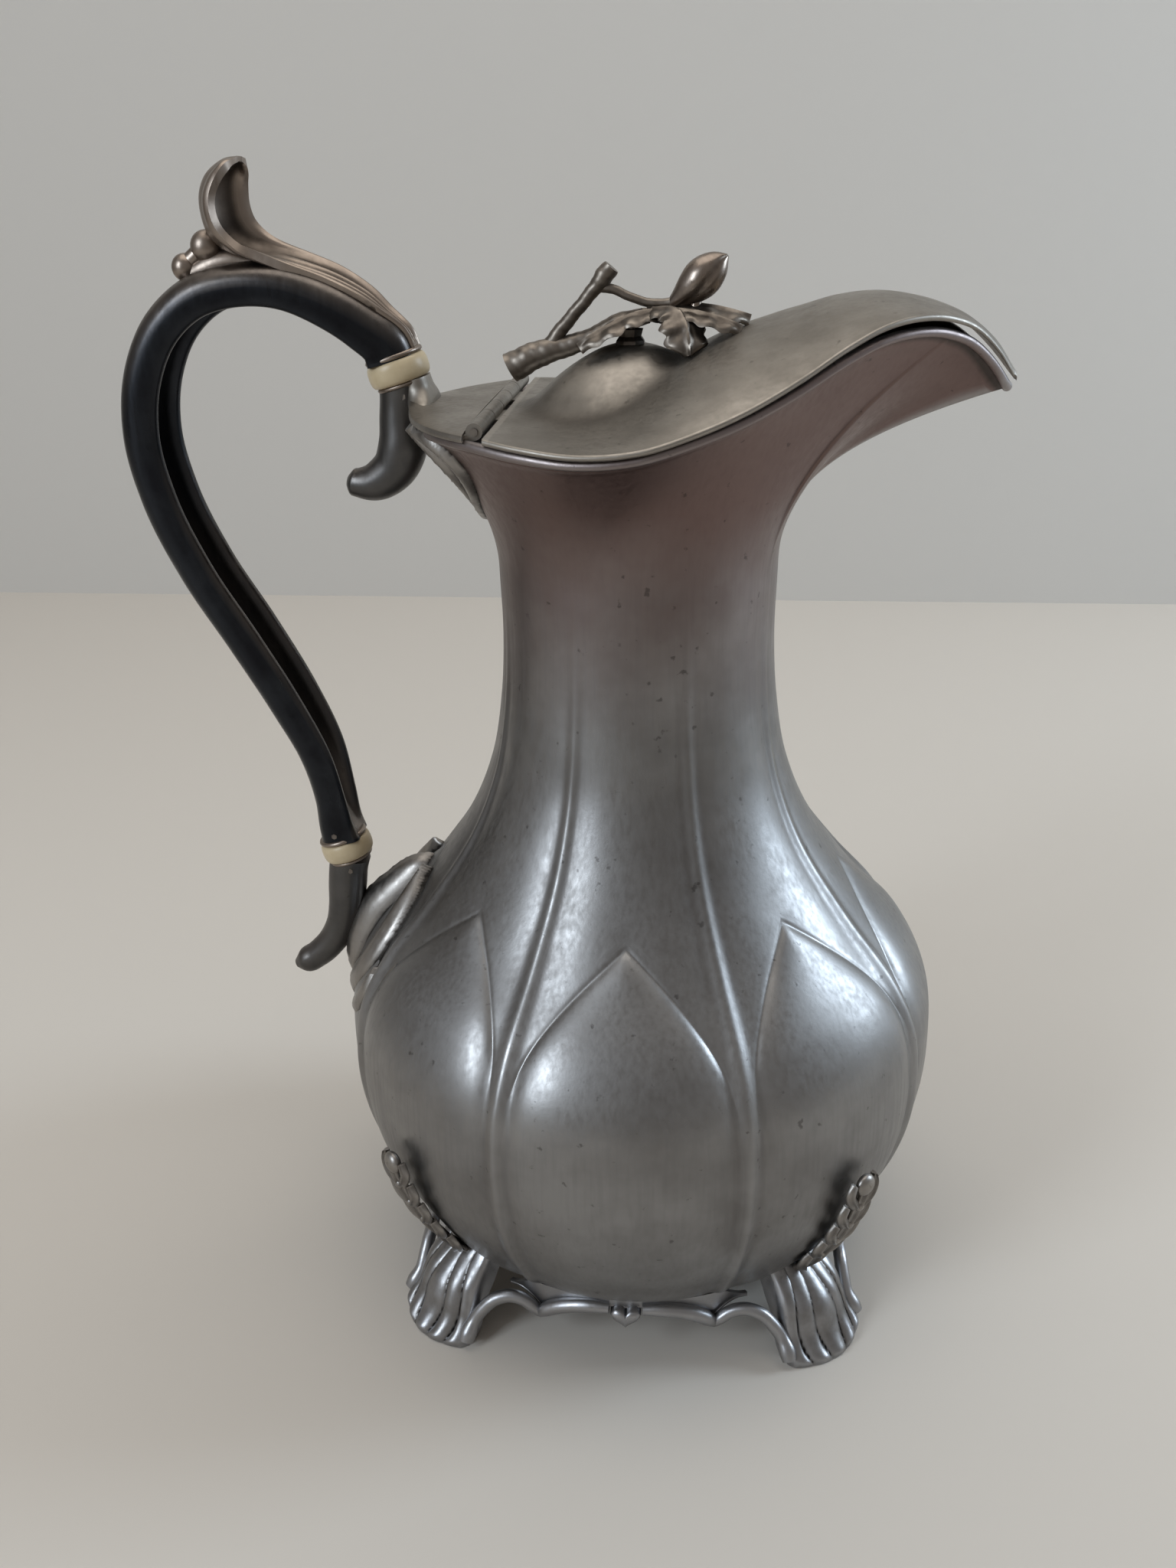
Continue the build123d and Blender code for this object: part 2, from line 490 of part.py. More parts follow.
# Lid and the cast finial on its boss
stud = rod((DOME_X, 0, DOME_Z - 3.4), (DOME_X, 0, FINIAL_Z + 1.4), STUD_R)
parts["lid_plate"] = lid_plate() - stud
parts["finial_stud"] = stud
nut = extrude(Plane((DOME_X, 0, DOME_Z - 2.2)) * RegularPolygon(3.1, 6), 2.2)
parts["finial_nut"] = nut - stud
post_z = DOME_Z + LID_SHEET
turning = [(post_z + up, r) for up, r in POST_TURNING] + [(FINIAL_Z, 2.8)]
post = faceted([[(DOME_X + x, y, z) for x, y in polygon(r, r)] for z, r in turning])
parts["finial_post"] = post - stud
leaf_middle = faceted([[(DOME_X + x, y, z) for x, y in polygon(4.2, 4.2)] for z in (FINIAL_Z, FINIAL_Z + 2.6)])
parts["finial_leaf"] = leaf_middle + [lobe(*shape) for shape in LEAF_LOBES] - stud
bud_post = faceted([[(11.6 + x, y, z) for x, y in polygon(1.7, 1.7, 4)] for z in (226.6, 231.0)])
parts["finial_bud"] = round_tube(BUD) + bud_post - parts["finial_leaf"]
branch = round_tube(STEM) + [round_tube(TWIG), round_tube(TENDRIL, 6)]
branch = branch - parts["finial_leaf"] - parts["finial_bud"]
parts["finial_branch"] = branch - parts["finial_post"] - stud

# Handle between its two washers, with dowels inside and a rivet each side of each washer
grip = handle_grip()
upper_face = washer_face(UPPER_INSULATOR, UPPER_AXIS, 1)
lower_face = washer_face(LOWER_INSULATOR, LOWER_AXIS, 1)
upper_tail = round_tube([(*upper_face, TAIL_TOP_R)] + UPPER_TAIL, first=UPPER_AXIS)
lower_tail = round_tube([(*lower_face, TAIL_TOP_R)] + LOWER_TAIL, first=LOWER_AXIS)
upper_tail = upper_tail - neck_form - parts["back_plate"]
lower_tail = lower_tail - belly_form
for name, centre, axis, washer_r, tail in (
        ("upper", UPPER_INSULATOR, UPPER_AXIS, UPPER_WASHER_R, upper_tail),
        ("lower", LOWER_INSULATOR, LOWER_AXIS, LOWER_WASHER_R, lower_tail)):
    reach = WASHER_T / 2 + DOWEL_DEPTH
    ends = [(centre[0] + side * axis[0] * reach, centre[1] + side * axis[1] * reach) for side in (-1, 1)]
    dowel = tube(ends, [polygon(DOWEL_R, DOWEL_R, 4)] * 2)
    washer = rod(along_axis(centre, axis, -WASHER_T / 2), along_axis(centre, axis, WASHER_T / 2), washer_r)
    rivets = []
    for side, length in RIVET_HALVES:
        x, _, z = along_axis(centre, axis, side * (WASHER_T / 2 + RIVET_DEPTH))
        outline = polygon(RIVET_R, RIVET_R, 6)
        rivets.append(faceted([[(x + u, y, z + v) for u, v in outline] for y in (-length, length)]))
    parts[f"{name}_insulator"] = washer - dowel
    parts[f"{name}_dowel"] = dowel - rivets
    parts[f"{name}_rivets"] = Compound(rivets)
    parts[f"{name}_socket"] = tail - dowel - rivets
    grip = grip - dowel - rivets
parts["handle_grip"] = grip
parts["thumb_leaf"] = thumb_leaf() - grip
berries = [ball(*berry) for berry in BERRIES] + [stalk(*ends, 1.1) for ends in BERRY_STALKS]
parts["thumb_berries"] = berries[0] + berries[1:] - grip - parts["thumb_leaf"]

# Castings that join the two tails to the body, the upper one with a lug up to its washer
lug_top = [(upper_face[0] - s * UPPER_AXIS[1], upper_face[1] + s * UPPER_AXIS[0]) for s in LUG_TOP]
lug = faceted([[(near[0], -w, near[1]), (far[0], -w, far[1]), (far[0], w, far[1]), (near[0], w, near[1])]
               for near, far, w in LUG_LEVELS + [(*lug_top, LUG_TOP_HALF)]])
neck_leaf = wall_plate(NECK_LEAF) + lug - neck_form
for name in ("upper_socket", "back_plate", "upper_rivets", "upper_dowel"):
    neck_leaf = neck_leaf - parts[name]
parts["neck_leaf_mount"] = neck_leaf
lower_leaf = wall_plate(LOWER_LEAF) - belly_form
parts["lower_leaf_mount"] = lower_leaf - parts["lower_socket"]

# Base: four sprays of leaves, four feet and the apron between them
spray = Rot(0, 0, 180) * (wall_plate(SPRAY) - low_form)
feet_form = foot() - low_form
spray = spray - feet_form
apron_form = apron() - low_form
feet = [Rot(0, 0, angle) * feet_form for angle in FOOT_ANGLES.values()]
for name, angle in FOOT_ANGLES.items():
    parts[f"foot_{name}"] = Rot(0, 0, angle) * feet_form
    parts[f"spray_{name}"] = Rot(0, 0, angle) * spray
for name, angle in APRON_ANGLES.items():
    parts[f"apron_{name}"] = Rot(0, 0, angle) * apron_form - feet

os.makedirs("parts", exist_ok=True)
for name, shape in parts.items():
    export_step(shape, f"parts/{name}.step")
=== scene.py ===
from math import cos, pi, radians, sin, sqrt

import bpy
import numpy as np
from mathutils import Matrix


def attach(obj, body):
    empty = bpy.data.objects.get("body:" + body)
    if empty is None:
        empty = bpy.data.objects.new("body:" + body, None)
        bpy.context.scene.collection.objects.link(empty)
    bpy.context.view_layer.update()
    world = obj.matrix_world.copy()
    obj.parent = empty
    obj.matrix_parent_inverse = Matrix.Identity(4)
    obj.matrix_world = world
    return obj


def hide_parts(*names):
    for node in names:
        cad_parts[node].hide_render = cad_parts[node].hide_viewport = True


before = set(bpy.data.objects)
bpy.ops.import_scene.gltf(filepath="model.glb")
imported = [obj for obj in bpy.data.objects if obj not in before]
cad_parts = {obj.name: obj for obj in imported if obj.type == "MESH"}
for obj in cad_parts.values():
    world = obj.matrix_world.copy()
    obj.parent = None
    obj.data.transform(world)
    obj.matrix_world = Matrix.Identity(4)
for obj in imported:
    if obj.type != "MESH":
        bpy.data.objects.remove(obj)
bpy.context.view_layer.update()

# Studio: a pale table and wall, soft boxes to the left, right and above, and the camera where the
# photograph was taken from, looking down on the jug's left-hand side. Metres and radians.
scene = bpy.context.scene
scene.view_settings.view_transform = "Standard"

FOCAL_PIXELS, FRAME_PIXELS, SENSOR_MM = 1800.0, 2048, 36.0
PITCH, AROUND, ROLL = 0.42758, 0.09943, -0.018785
DISTANCE, ASIDE, EYE_LEVEL, NEAREST = 0.320034, -0.011765, 0.122592, 0.01
MIDDLE = np.array([0.0, 0.0, 0.12])
PALE_TABLE, PALE_WALL, MATT = (0.56, 0.52, 0.47), (0.56, 0.54, 0.51), 0.8
ROOM_HALF, TABLE_Z, WALL_Y, WALL_FOOT_Z = 3.0, -0.0002, 0.55, -0.01
ROOM_LIGHT, ROOM_STRENGTH = (0.42, 0.40, 0.38), 0.7


def unit(vectors):
    """Vectors of length one."""
    return vectors / np.maximum(np.linalg.norm(vectors, axis=-1, keepdims=True), 1e-9)


def placement(x_axis, y_axis, z_axis, place):
    """The matrix that turns an object to three axes and moves it to its place."""
    matrix = np.eye(4)
    matrix[:3] = np.stack([x_axis, y_axis, z_axis, place], axis=1)
    return Matrix(matrix.tolist())


def new_object(name, data):
    """An object made of its data and put in the scene."""
    made = bpy.data.objects.new(name, data)
    scene.collection.objects.link(made)
    return made


back = np.array([sin(AROUND) * cos(PITCH), -cos(AROUND) * cos(PITCH), sin(PITCH)])
right = np.array([cos(AROUND), sin(AROUND), 0.0])
up = np.cross(back, right)
eye = right * ASIDE + np.array([0.0, 0.0, EYE_LEVEL]) + back * DISTANCE
camera = new_object("camera", bpy.data.cameras.new("camera"))
camera.data.sensor_width = SENSOR_MM
camera.data.lens = FOCAL_PIXELS / FRAME_PIXELS * SENSOR_MM
camera.data.clip_start = NEAREST
rolled_right = right * cos(ROLL) + up * sin(ROLL)
rolled_up = up * cos(ROLL) - right * sin(ROLL)
camera.matrix_world = placement(rolled_right, rolled_up, back, eye)
scene.camera = camera


def soft_box(name, place, size, watts, colour):
    """A rectangular lamp at a place, turned to shine at the jug's middle."""
    lamp = bpy.data.lights.new(name, "AREA")
    lamp.shape, lamp.size, lamp.size_y = "RECTANGLE", size[0], size[1]
    lamp.energy, lamp.color = watts, colour
    holder = new_object(name, lamp)
    away = unit(np.array(place) - MIDDLE)
    side = unit(np.cross((0.0, 0.0, 1.0), away))
    holder.matrix_world = placement(side, np.cross(away, side), away, place)


soft_box("window_left", (-0.75, -0.75, 0.62), (0.34, 0.6), 6.5, (0.80, 0.90, 1.0))
soft_box("window_right", (1.0, 0.22, 0.5), (0.3, 0.6), 7.0, (0.72, 0.86, 1.0))
soft_box("ceiling", (0.0, 0.1, 1.3), (1.2, 1.0), 7.0, (1.0, 0.96, 0.9))


def new_finish(name):
    """A new material and its shader."""
    finish = bpy.data.materials.new(name)
    finish.use_nodes = True
    return finish, finish.node_tree.nodes["Principled BSDF"]


def studio_surface(name, near, far, colour):
    """A matt backdrop across the room, between two edges given by (y, z)."""
    corners = [(-ROOM_HALF, *near), (ROOM_HALF, *near), (ROOM_HALF, *far), (-ROOM_HALF, *far)]
    mesh = bpy.data.meshes.new(name)
    mesh.from_pydata(corners, [], [(0, 1, 2, 3)])
    finish, shader = new_finish(name)
    shader.inputs["Base Color"].default_value = (*colour, 1.0)
    shader.inputs["Roughness"].default_value = MATT
    mesh.materials.append(finish)
    new_object(name, mesh)


studio_surface("table", (-ROOM_HALF, TABLE_Z), (ROOM_HALF, TABLE_Z), PALE_TABLE)
studio_surface("wall", (WALL_Y, WALL_FOOT_Z), (WALL_Y, ROOM_HALF), PALE_WALL)
room = bpy.data.worlds.new("room")
room.use_nodes = True
room.node_tree.nodes["Background"].inputs["Color"].default_value = (*ROOM_LIGHT, 1.0)
room.node_tree.nodes["Background"].inputs["Strength"].default_value = ROOM_STRENGTH
scene.world = room

# Body: one vessel of pewter sheet with eight lobes, a ridge between two flutes on each seam, and a
# pointed petal embossed on each lobe. Its mouth flares to a spout and is rolled round a wire. From
# here on lengths are in mm. Names that end in Z are heights, in X places along the jug, in R radii.
MM = 0.001
PANELS, COLUMNS = 8, 44
HALF_PANEL = pi / PANELS
WALL, BASE_Z, FLOOR_R = 1.3, 10.5, 36.0
NECK_Z, NECK_R = 175.0, 30.0
MOUTH_R, BACK_Z, TIP_X = 46.4, 207.2, 75.4
BELLY_R = 70.2
MERIDIAN = [
    (BASE_Z, 41), (17, 53.4), (28, 61.6), (40, 66.9), (52, 69.7), (64, BELLY_R), (76, 68.3), (86, 63.2),
    (100, 51.3), (115, 40.3), (130, 33.8), (145, 30.9), (160, 29.8), (NECK_Z, NECK_R)]
RIM_LINE = [
    (-50, BACK_Z), (-32, BACK_Z), (-31, BACK_Z), (-20, 206.3), (-8, 205.5), (2, 206.3), (12, 208.8),
    (22, 212.2), (32, 216.9), (40, 221.3), (47, 224.2), (54, 225.2), (60, 224.5), (66, 221.9), (71, 217.4),
    (TIP_X, 212), (82, 205)]
GROOVE, SEAM_FADE, FOOT_FADE = 1.7, (132, 176), (8, 20)
VALLEY, VALLEY_HALF = 0.44, 7.5
RIDGE, RIDGE_HALF = 0.56, 1.6
FLUTE, FLUTE_HALF, FLUTE_OFF = 0.08, 1.1, 3.0
PETAL_TIP_Z, PETAL_FULL_Z, PETAL_CLEAR_Z, PETAL_FOOT_Z = 105.5, 77.0, 83.0, 60.0
PETAL_DROP = PETAL_TIP_Z - PETAL_FULL_Z
PETAL_HALF, PETAL_POWER = radians(20.5), 2.2
PETAL_RISE, PETAL_EDGE = 0.75, 2.2
SUNK, SUNK_REACH = 0.7, 8.0
CREASE, CREASE_HALF = 0.16, 0.6
SEAM_KEPT = (0.02, 0.08)
BEND_LOW, BEND_HIGH = 30.0, 165.0
MOUTH_TURN_X, MOUTH_FULL, MOUTH_POINT = 4.0, 1.25, 0.82
SPOUT_FAN, FAN_POWER = 0.42, 1.4
FLARE_POWER, FLARE_START = 1.9, 0.15
CHEEK, CHEEK_AT, CHEEK_HALF, KEEL_HALF = 0.4, 38, 25, 7
ROWS = [(BASE_Z, 19, 10), (20, 61, 36), (61.8, 101.5, 70), (101.8, 108.5, 22), (109.5, 174, 44)]
MOUTH_ROWS, INSIDE_STEP, BY_THE_EDGE = 44, 7, 0.995
ROLL_R, ROLL_ROOM, ROLL_DOWN, ROLL_IN = 1.05, 2.1, 1.3, 0.25
LINE_RISE, LINE_DOWN, LINE_HALF = 0.3, 3.3, 0.55


def along(stations, x):
    """Smooth values at x from stations of (x, values): cubics that meet each station with the slope
    of its neighbours, level past both ends."""
    table = np.array(stations, float)
    xs, ys = table[:, 0], table[:, 1:]
    slopes = np.gradient(ys, xs, axis=0)
    x = np.clip(x, xs[0], xs[-1])
    i = np.clip(np.searchsorted(xs, x) - 1, 0, len(xs) - 2)
    h = (xs[i + 1] - xs[i])[..., None]
    t = (x - xs[i])[..., None] / h
    values = ((2 * t**3 - 3 * t**2 + 1) * ys[i] + (t**3 - 2 * t**2 + t) * h * slopes[i]
              + (3 * t**2 - 2 * t**3) * ys[i + 1] + (t**3 - t**2) * h * slopes[i + 1])
    return values[..., 0] if values.shape[-1] == 1 else values


def ramp(x, low, high):
    """0 below low and 1 above high, with a smooth step between."""
    t = np.clip((x - low) / (high - low), 0.0, 1.0)
    return t * t * (3 - 2 * t)


def bell(x, half):
    """1 at nothing, about a third at half to either side, and next to nothing beyond."""
    return np.exp(-((x / half) ** 2))


def together(*values):
    """Points whose coordinates are stretched to one shape."""
    return np.stack(np.broadcast_arrays(*values), axis=-1)


def ringed(radius, turn, z):
    """Points at a radius and an angle about the jug's axis, and at a height."""
    return together(radius * np.cos(turn), radius * np.sin(turn), z)


def mouth_half_width(x):
    """Half width of the mouth in plan: a circle at the back, drawn in to a point at the tip."""
    forward = np.clip((x - MOUTH_TURN_X) / (TIP_X - MOUTH_TURN_X), 0.0, 1.0)
    front = sqrt(MOUTH_R**2 - MOUTH_TURN_X**2) * (1 - forward**MOUTH_FULL) ** MOUTH_POINT
    return np.where(x <= MOUTH_TURN_X, np.sqrt(np.maximum(MOUTH_R**2 - x**2, 0.0)), front)


def mouth_reach(angle):
    """Distance from the axis to the mouth's edge in plan, found by halving an interval."""
    low, high = np.zeros_like(angle), np.full_like(angle, TIP_X + 5)
    for _ in range(40):
        half = (low + high) / 2
        x, y = half * np.cos(angle), np.abs(half * np.sin(angle))
        inside = (x < TIP_X) & (y <= mouth_half_width(x))
        low, high = np.where(inside, half, low), np.where(inside, high, half)
    return low


def petal_line(off):
    """Height of a petal's outline at an angle off its middle: a pointed arch."""
    inside = np.clip(1 - np.abs(off) / PETAL_HALF, 0.0, 1.0)
    return PETAL_TIP_Z - PETAL_DROP * (1 - inside ** (1 / PETAL_POWER))


def wall_relief(off, z, radius):
    """Height of the embossing at an angle off a panel's middle: a valley with a ridge and two flutes
    along each seam, and the petal's swelling inside its outline with a sharp crease round it."""
    seam = (HALF_PANEL - np.abs(off)) * radius
    size = radius / BELLY_R
    fine = size**0.4
    relief = RIDGE * bell(seam, RIDGE_HALF * fine) - VALLEY * bell(seam, VALLEY_HALF * size**0.5)
    relief -= FLUTE * bell(seam - FLUTE_OFF * fine, FLUTE_HALF * fine)
    relief *= GROOVE * size**0.8 * (1 - ramp(z, *SEAM_FADE)) * ramp(z, *FOOT_FADE)
    share = np.clip((PETAL_TIP_Z - z) / PETAL_DROP, 0.0, 1.0)
    half = PETAL_HALF * (1 - (1 - share) ** PETAL_POWER)
    slope = PETAL_HALF * PETAL_POWER * (1 - share) ** (PETAL_POWER - 1) / PETAL_DROP * radius
    distance = (half - np.abs(off)) * radius / np.sqrt(1 + slope**2)
    distance = np.where(z > PETAL_TIP_Z, -np.hypot(z - PETAL_TIP_Z, off * radius), distance)
    within = np.exp(-np.maximum(distance, 0) / PETAL_EDGE)
    around = np.exp(np.minimum(distance, 0) / SUNK_REACH)
    petal = PETAL_RISE * (1 - within) - SUNK * np.where(distance < 0, around, within)
    petal -= CREASE * bell(distance, CREASE_HALF)
    melt = ramp(z, PETAL_FOOT_Z, PETAL_CLEAR_Z) * ramp(HALF_PANEL - np.abs(off), *SEAM_KEPT)
    return relief + petal * melt


def lower_wall(level, turns):
    """The body's outside below the mouth: its meridian's radius plus the embossing. The rows bend
    between BEND_LOW and BEND_HIGH so that one of them follows the petals' outline."""
    off = (turns + HALF_PANEL) % (2 * HALF_PANEL) - HALF_PANEL
    level, line = level[:, None], petal_line(off)
    under = BEND_LOW + (level - BEND_LOW) * (line - BEND_LOW) / (PETAL_TIP_Z - BEND_LOW)
    over = BEND_HIGH - (BEND_HIGH - level) * (BEND_HIGH - line) / (BEND_HIGH - PETAL_TIP_Z)
    bent = np.where(level < PETAL_TIP_Z, under, over)
    z = np.where((level > BEND_LOW) & (level < BEND_HIGH), bent, level)
    radius = along(MERIDIAN, z)
    return ringed(radius + wall_relief(off, z, radius), turns, z)


def mouth_wall(h, turns):
    """The flaring mouth, h from 0 at the neck to 1 at its edge: the radius grows as a power of h
    towards the edge's own reach, with a soft start, while the seams fan out towards the spout. The
    power is less at the spout's cheeks and more on its keel."""
    edge_turn = turns - SPOUT_FAN * np.sin(turns)
    reach = mouth_reach(edge_turn)
    edge_z = along(RIM_LINE, reach * np.cos(edge_turn))
    degrees = np.abs(np.degrees(edge_turn))
    power = FLARE_POWER - CHEEK * bell(degrees - CHEEK_AT, CHEEK_HALF) + bell(degrees, KEEL_HALF)
    angle = turns + (edge_turn - turns) * h**FAN_POWER
    start = FLARE_START**power
    flare = ((h**2 + FLARE_START**2) ** (power / 2) - start) / ((1 + FLARE_START**2) ** (power / 2) - start)
    return ringed(NECK_R + (reach - NECK_R) * flare, angle, NECK_Z + (edge_z - NECK_Z) * h)


def outward(grid):
    """Unit normals of a grid whose rows go up and whose columns go round anticlockwise."""
    return unit(np.cross(np.roll(grid, -1, axis=1) - np.roll(grid, 1, axis=1), np.gradient(grid, axis=0)))


def ring_lump(*parts, joined=False):
    """A closed lump from a stack of rings, each made up of its parts: joined end to end, or closed by
    a flat face at each end."""
    grid = np.concatenate(parts, axis=1)
    rows, columns = grid.shape[:2]
    r, c = np.arange(rows if joined else rows - 1)[:, None], np.arange(columns)[None, :]
    r2, c2 = (r + 1) % rows, (c + 1) % columns
    corners = [r * columns + c, r * columns + c2, r2 * columns + c2, r2 * columns + c]
    faces = [np.stack(corners, axis=-1).reshape(-1, 4)]
    if not joined:
        faces += [np.arange(columns)[None, ::-1], np.arange(columns)[None, :] + (rows - 1) * columns]
    return grid.reshape(-1, 3), faces


def hollowness(points, normals, edges, rounds):
    """How far each point lies below the average of its surroundings, in mm."""
    smooth = points
    one, other = edges[:, 0], edges[:, 1]
    count = np.bincount(edges.ravel(), minlength=len(points))[:, None]
    for _ in range(rounds):
        total = np.stack([np.bincount(one, smooth[other, k], len(points))
                          + np.bincount(other, smooth[one, k], len(points)) for k in range(3)], axis=1)
        smooth = (smooth + total / np.maximum(count, 1)) / 2
    return ((smooth - points) * normals).sum(axis=1)


def piece(name, lumps, body, slot, finish, *nodes, sharp=50.0, rounds=12):
    """One object of closed lumps in mm, their faces turned outwards. Each point gets its hollowness
    and the way it faces as attributes for the finish."""
    points, corners, sizes, first = [], [], [], 0
    for lump_points, faces in lumps:
        volume = 0.0
        for polygons in faces:
            p = lump_points[polygons]
            area = np.cross(p, np.roll(p, -1, axis=1)).sum(axis=1) / 2
            volume += (area * p.mean(axis=1)).sum() / 3
        for polygons in faces:
            polygons = polygons[:, ::-1] if volume < 0 else polygons
            corners.append((polygons + first).ravel())
            sizes.append(np.full(len(polygons), polygons.shape[1]))
        points.append(lump_points)
        first += len(lump_points)
    points, corners, sizes = np.concatenate(points), np.concatenate(corners), np.concatenate(sizes)
    mesh = bpy.data.meshes.new(name)
    mesh.vertices.add(len(points))
    mesh.vertices.foreach_set("co", (points * MM).ravel())
    mesh.loops.add(len(corners))
    mesh.loops.foreach_set("vertex_index", corners)
    mesh.polygons.add(len(sizes))
    mesh.polygons.foreach_set("loop_start", np.concatenate([[0], np.cumsum(sizes)[:-1]]))
    mesh.polygons.foreach_set("use_smooth", np.ones(len(sizes), bool))
    mesh.update(calc_edges=True)
    mesh.validate()
    mesh.set_sharp_from_angle(angle=radians(sharp))
    edges = np.empty(len(mesh.edges) * 2, int)
    mesh.edges.foreach_get("vertices", edges)
    normals = np.empty(len(points) * 3)
    mesh.vertices.foreach_get("normal", normals)
    depth = hollowness(points, normals.reshape(-1, 3), edges.reshape(-1, 2), rounds)
    mesh.attributes.new("hollow", "FLOAT", "POINT").data.foreach_set("value", depth)
    mesh.attributes.new("upward", "FLOAT", "POINT").data.foreach_set("value", normals[2::3].copy())
    made = new_object(name, mesh)
    mesh.materials.append(finish)
    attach(made, body)
    if nodes:
        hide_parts(*nodes)


def add_node(tree, kind, sockets, **settings):
    """A node with its settings, and with its sockets set to a value or linked to a result."""
    made = tree.nodes.new("ShaderNode" + kind)
    for key, value in settings.items():
        setattr(made, key, value)
    for key, value in sockets.items():
        socket = made.inputs[key]
        if isinstance(value, bpy.types.NodeSocket):
            tree.links.new(value, socket)
        else:
            socket.default_value = (*value, 1.0) if socket.type == "RGBA" else value
    return made


def worn_metal(name, bright, dull, dark, roughness, cloud=22.0, streaks=0.25, pits=0.5, hollow=0.5,
               tarnish_and_reflection=None, rubbed_and_sheen=None):
    """Old metal: two greys in clouds of a size in mm, with dark pits, painted shade in its hollows and a
    painted highlight on its ridges, and wiping marks that run up and down. The tint for heights is a
    colour, partly tarnished metal and partly a painted reflection, and the two heights it deepens
    between; the colour for faces that look up is partly wear and partly a painted sheen; and hollow is
    the depth of a hollow that gets the full painted shade."""
    finish, shader = new_finish(name)
    tree = finish.node_tree
    shader.inputs["Metallic"].default_value = 1.0

    def noise(where, size, **sockets):
        """Soft noise with spots of about a size in mm."""
        sockets = {"Vector": where, "Scale": 1 / (size * MM), **sockets}
        return add_node(tree, "TexNoise", sockets).outputs["Fac"]

    def spread(source, low, high, out_low=0.0, out_high=1.0):
        """A result between low and high, spread over another range."""
        sockets = {"Value": source, "From Min": low, "From Max": high, "To Min": out_low, "To Max": out_high}
        return add_node(tree, "MapRange", sockets, clamp=True).outputs["Result"]

    def blend(amount, under, over):
        """One colour laid over another."""
        return add_node(tree, "Mix", {0: amount, 6: under, 7: over}, data_type="RGBA").outputs[2]

    def maths(how, a, b):
        """Two values added or multiplied."""
        return add_node(tree, "Math", {0: a, 1: b}, operation=how).outputs[0]

    place = add_node(tree, "TexCoord", {}).outputs["Object"]
    drawn = add_node(tree, "Mapping", {"Vector": place, "Scale": (1.0, 1.0, 0.07)}).outputs[0]
    clouds = noise(place, cloud, Detail=4.0, Roughness=0.6)
    wiping = noise(drawn, 1.1, Detail=3.0)
    grain = noise(place, 0.9, Detail=4.0, Roughness=0.65)
    specks = noise(place, 2.4, Detail=3.0)
    depth = add_node(tree, "Attribute", {}, attribute_name="hollow").outputs["Fac"]

    colour = blend(spread(clouds, 0.35, 0.65), bright, dull)
    colour = blend(spread(wiping, 0.45, 0.75, 0.0, streaks), colour, dull)
    # A warm tint between two heights: partly tarnished metal, partly a painted reflection.
    if tarnish_and_reflection:
        tint, low, high = tarnish_and_reflection
        height = add_node(tree, "SeparateXYZ", {"Vector": place}).outputs["Z"]
        wavy = maths("ADD", height, maths("MULTIPLY", clouds, 0.02))
        colour = blend(spread(wavy, low * MM, high * MM), colour, tint)
    # Faces that look up turn a warm colour: partly worn metal, partly a painted sheen where they would catch
    # the light.
    if rubbed_and_sheen:
        upward = add_node(tree, "Attribute", {}, attribute_name="upward").outputs["Fac"]
        top = maths("MULTIPLY", spread(upward, 0.05, 0.65), spread(clouds, 0.3, 0.6, 0.6, 1.0))
        colour = blend(top, colour, rubbed_and_sheen)
    # Painted highlight: places that stand above their surroundings are brightened.
    ridge = spread(depth, -0.02 * hollow, -0.3 * hollow, 0.0, 0.6)
    colour = blend(ridge, colour, tuple(min(1.0, 1.35 * c) for c in bright))
    # Painted shade: places sunk below their surroundings are darkened, as though light were blocked there;
    # the pits below are the metal's own.
    hollow_shade = spread(depth, 0.03 * hollow, 0.5 * hollow, 0.0, 0.9)
    colour = blend(hollow_shade, colour, dark)
    spots = spread(specks, 0.68, 0.74, 0.0, pits)
    colour = blend(spots, colour, tuple(0.5 * c for c in dark))
    tree.links.new(colour, shader.inputs["Base Color"])

    rough = maths("ADD", spread(wiping, 0.3, 0.7, roughness - 0.05, roughness + 0.07),
                  spread(clouds, 0.3, 0.7, -0.05, 0.06))
    rough = maths("ADD", rough, maths("MULTIPLY", hollow_shade, 0.15))
    tree.links.new(rough, shader.inputs["Roughness"])
    fine = maths("ADD", grain, maths("MULTIPLY", wiping, 0.5))
    fine = maths("ADD", fine, maths("MULTIPLY", spots, -0.8))
    bump = add_node(tree, "Bump", {"Height": fine, "Strength": 0.17, "Distance": 0.1 * MM})
    tree.links.new(bump.outputs["Normal"], shader.inputs["Normal"])
    return finish


def refinish(finish, *nodes):
    """Give nodes of the CAD model a finish."""
    for node in nodes:
        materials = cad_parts[node].data.materials
        materials.clear()
        materials.append(finish)


# The body paints shade into its seam valleys and round its petals, a highlight on its ridges, and a warm
# brown on the neck's flare that is partly tarnished metal and partly a painted reflection.
body_pewter = worn_metal("body_pewter", (0.275, 0.272, 0.272), (0.188, 0.182, 0.178), (0.07, 0.06, 0.055),
                         0.40, cloud=26.0, hollow=1.6, tarnish_and_reflection=((0.165, 0.115, 0.105), 155, 204))
spacing = np.linspace(-1, 1, COLUMNS, endpoint=False)
one_panel = HALF_PANEL * (0.4 * spacing + 0.6 * np.sin(pi / 2 * spacing))
turns = np.concatenate([one_panel + 2 * HALF_PANEL * k for k in range(PANELS)])
lower = lower_wall(np.concatenate([np.linspace(*rows) for rows in ROWS]), turns)
edge = mouth_wall(np.array([[BY_THE_EDGE], [1.0]]), turns)
climb = np.linalg.norm(edge[1] - edge[0], axis=1) / (1 - BY_THE_EDGE)
flares = np.linspace(0, 1, MOUTH_ROWS)[:, None] * (1 - ROLL_ROOM / climb)
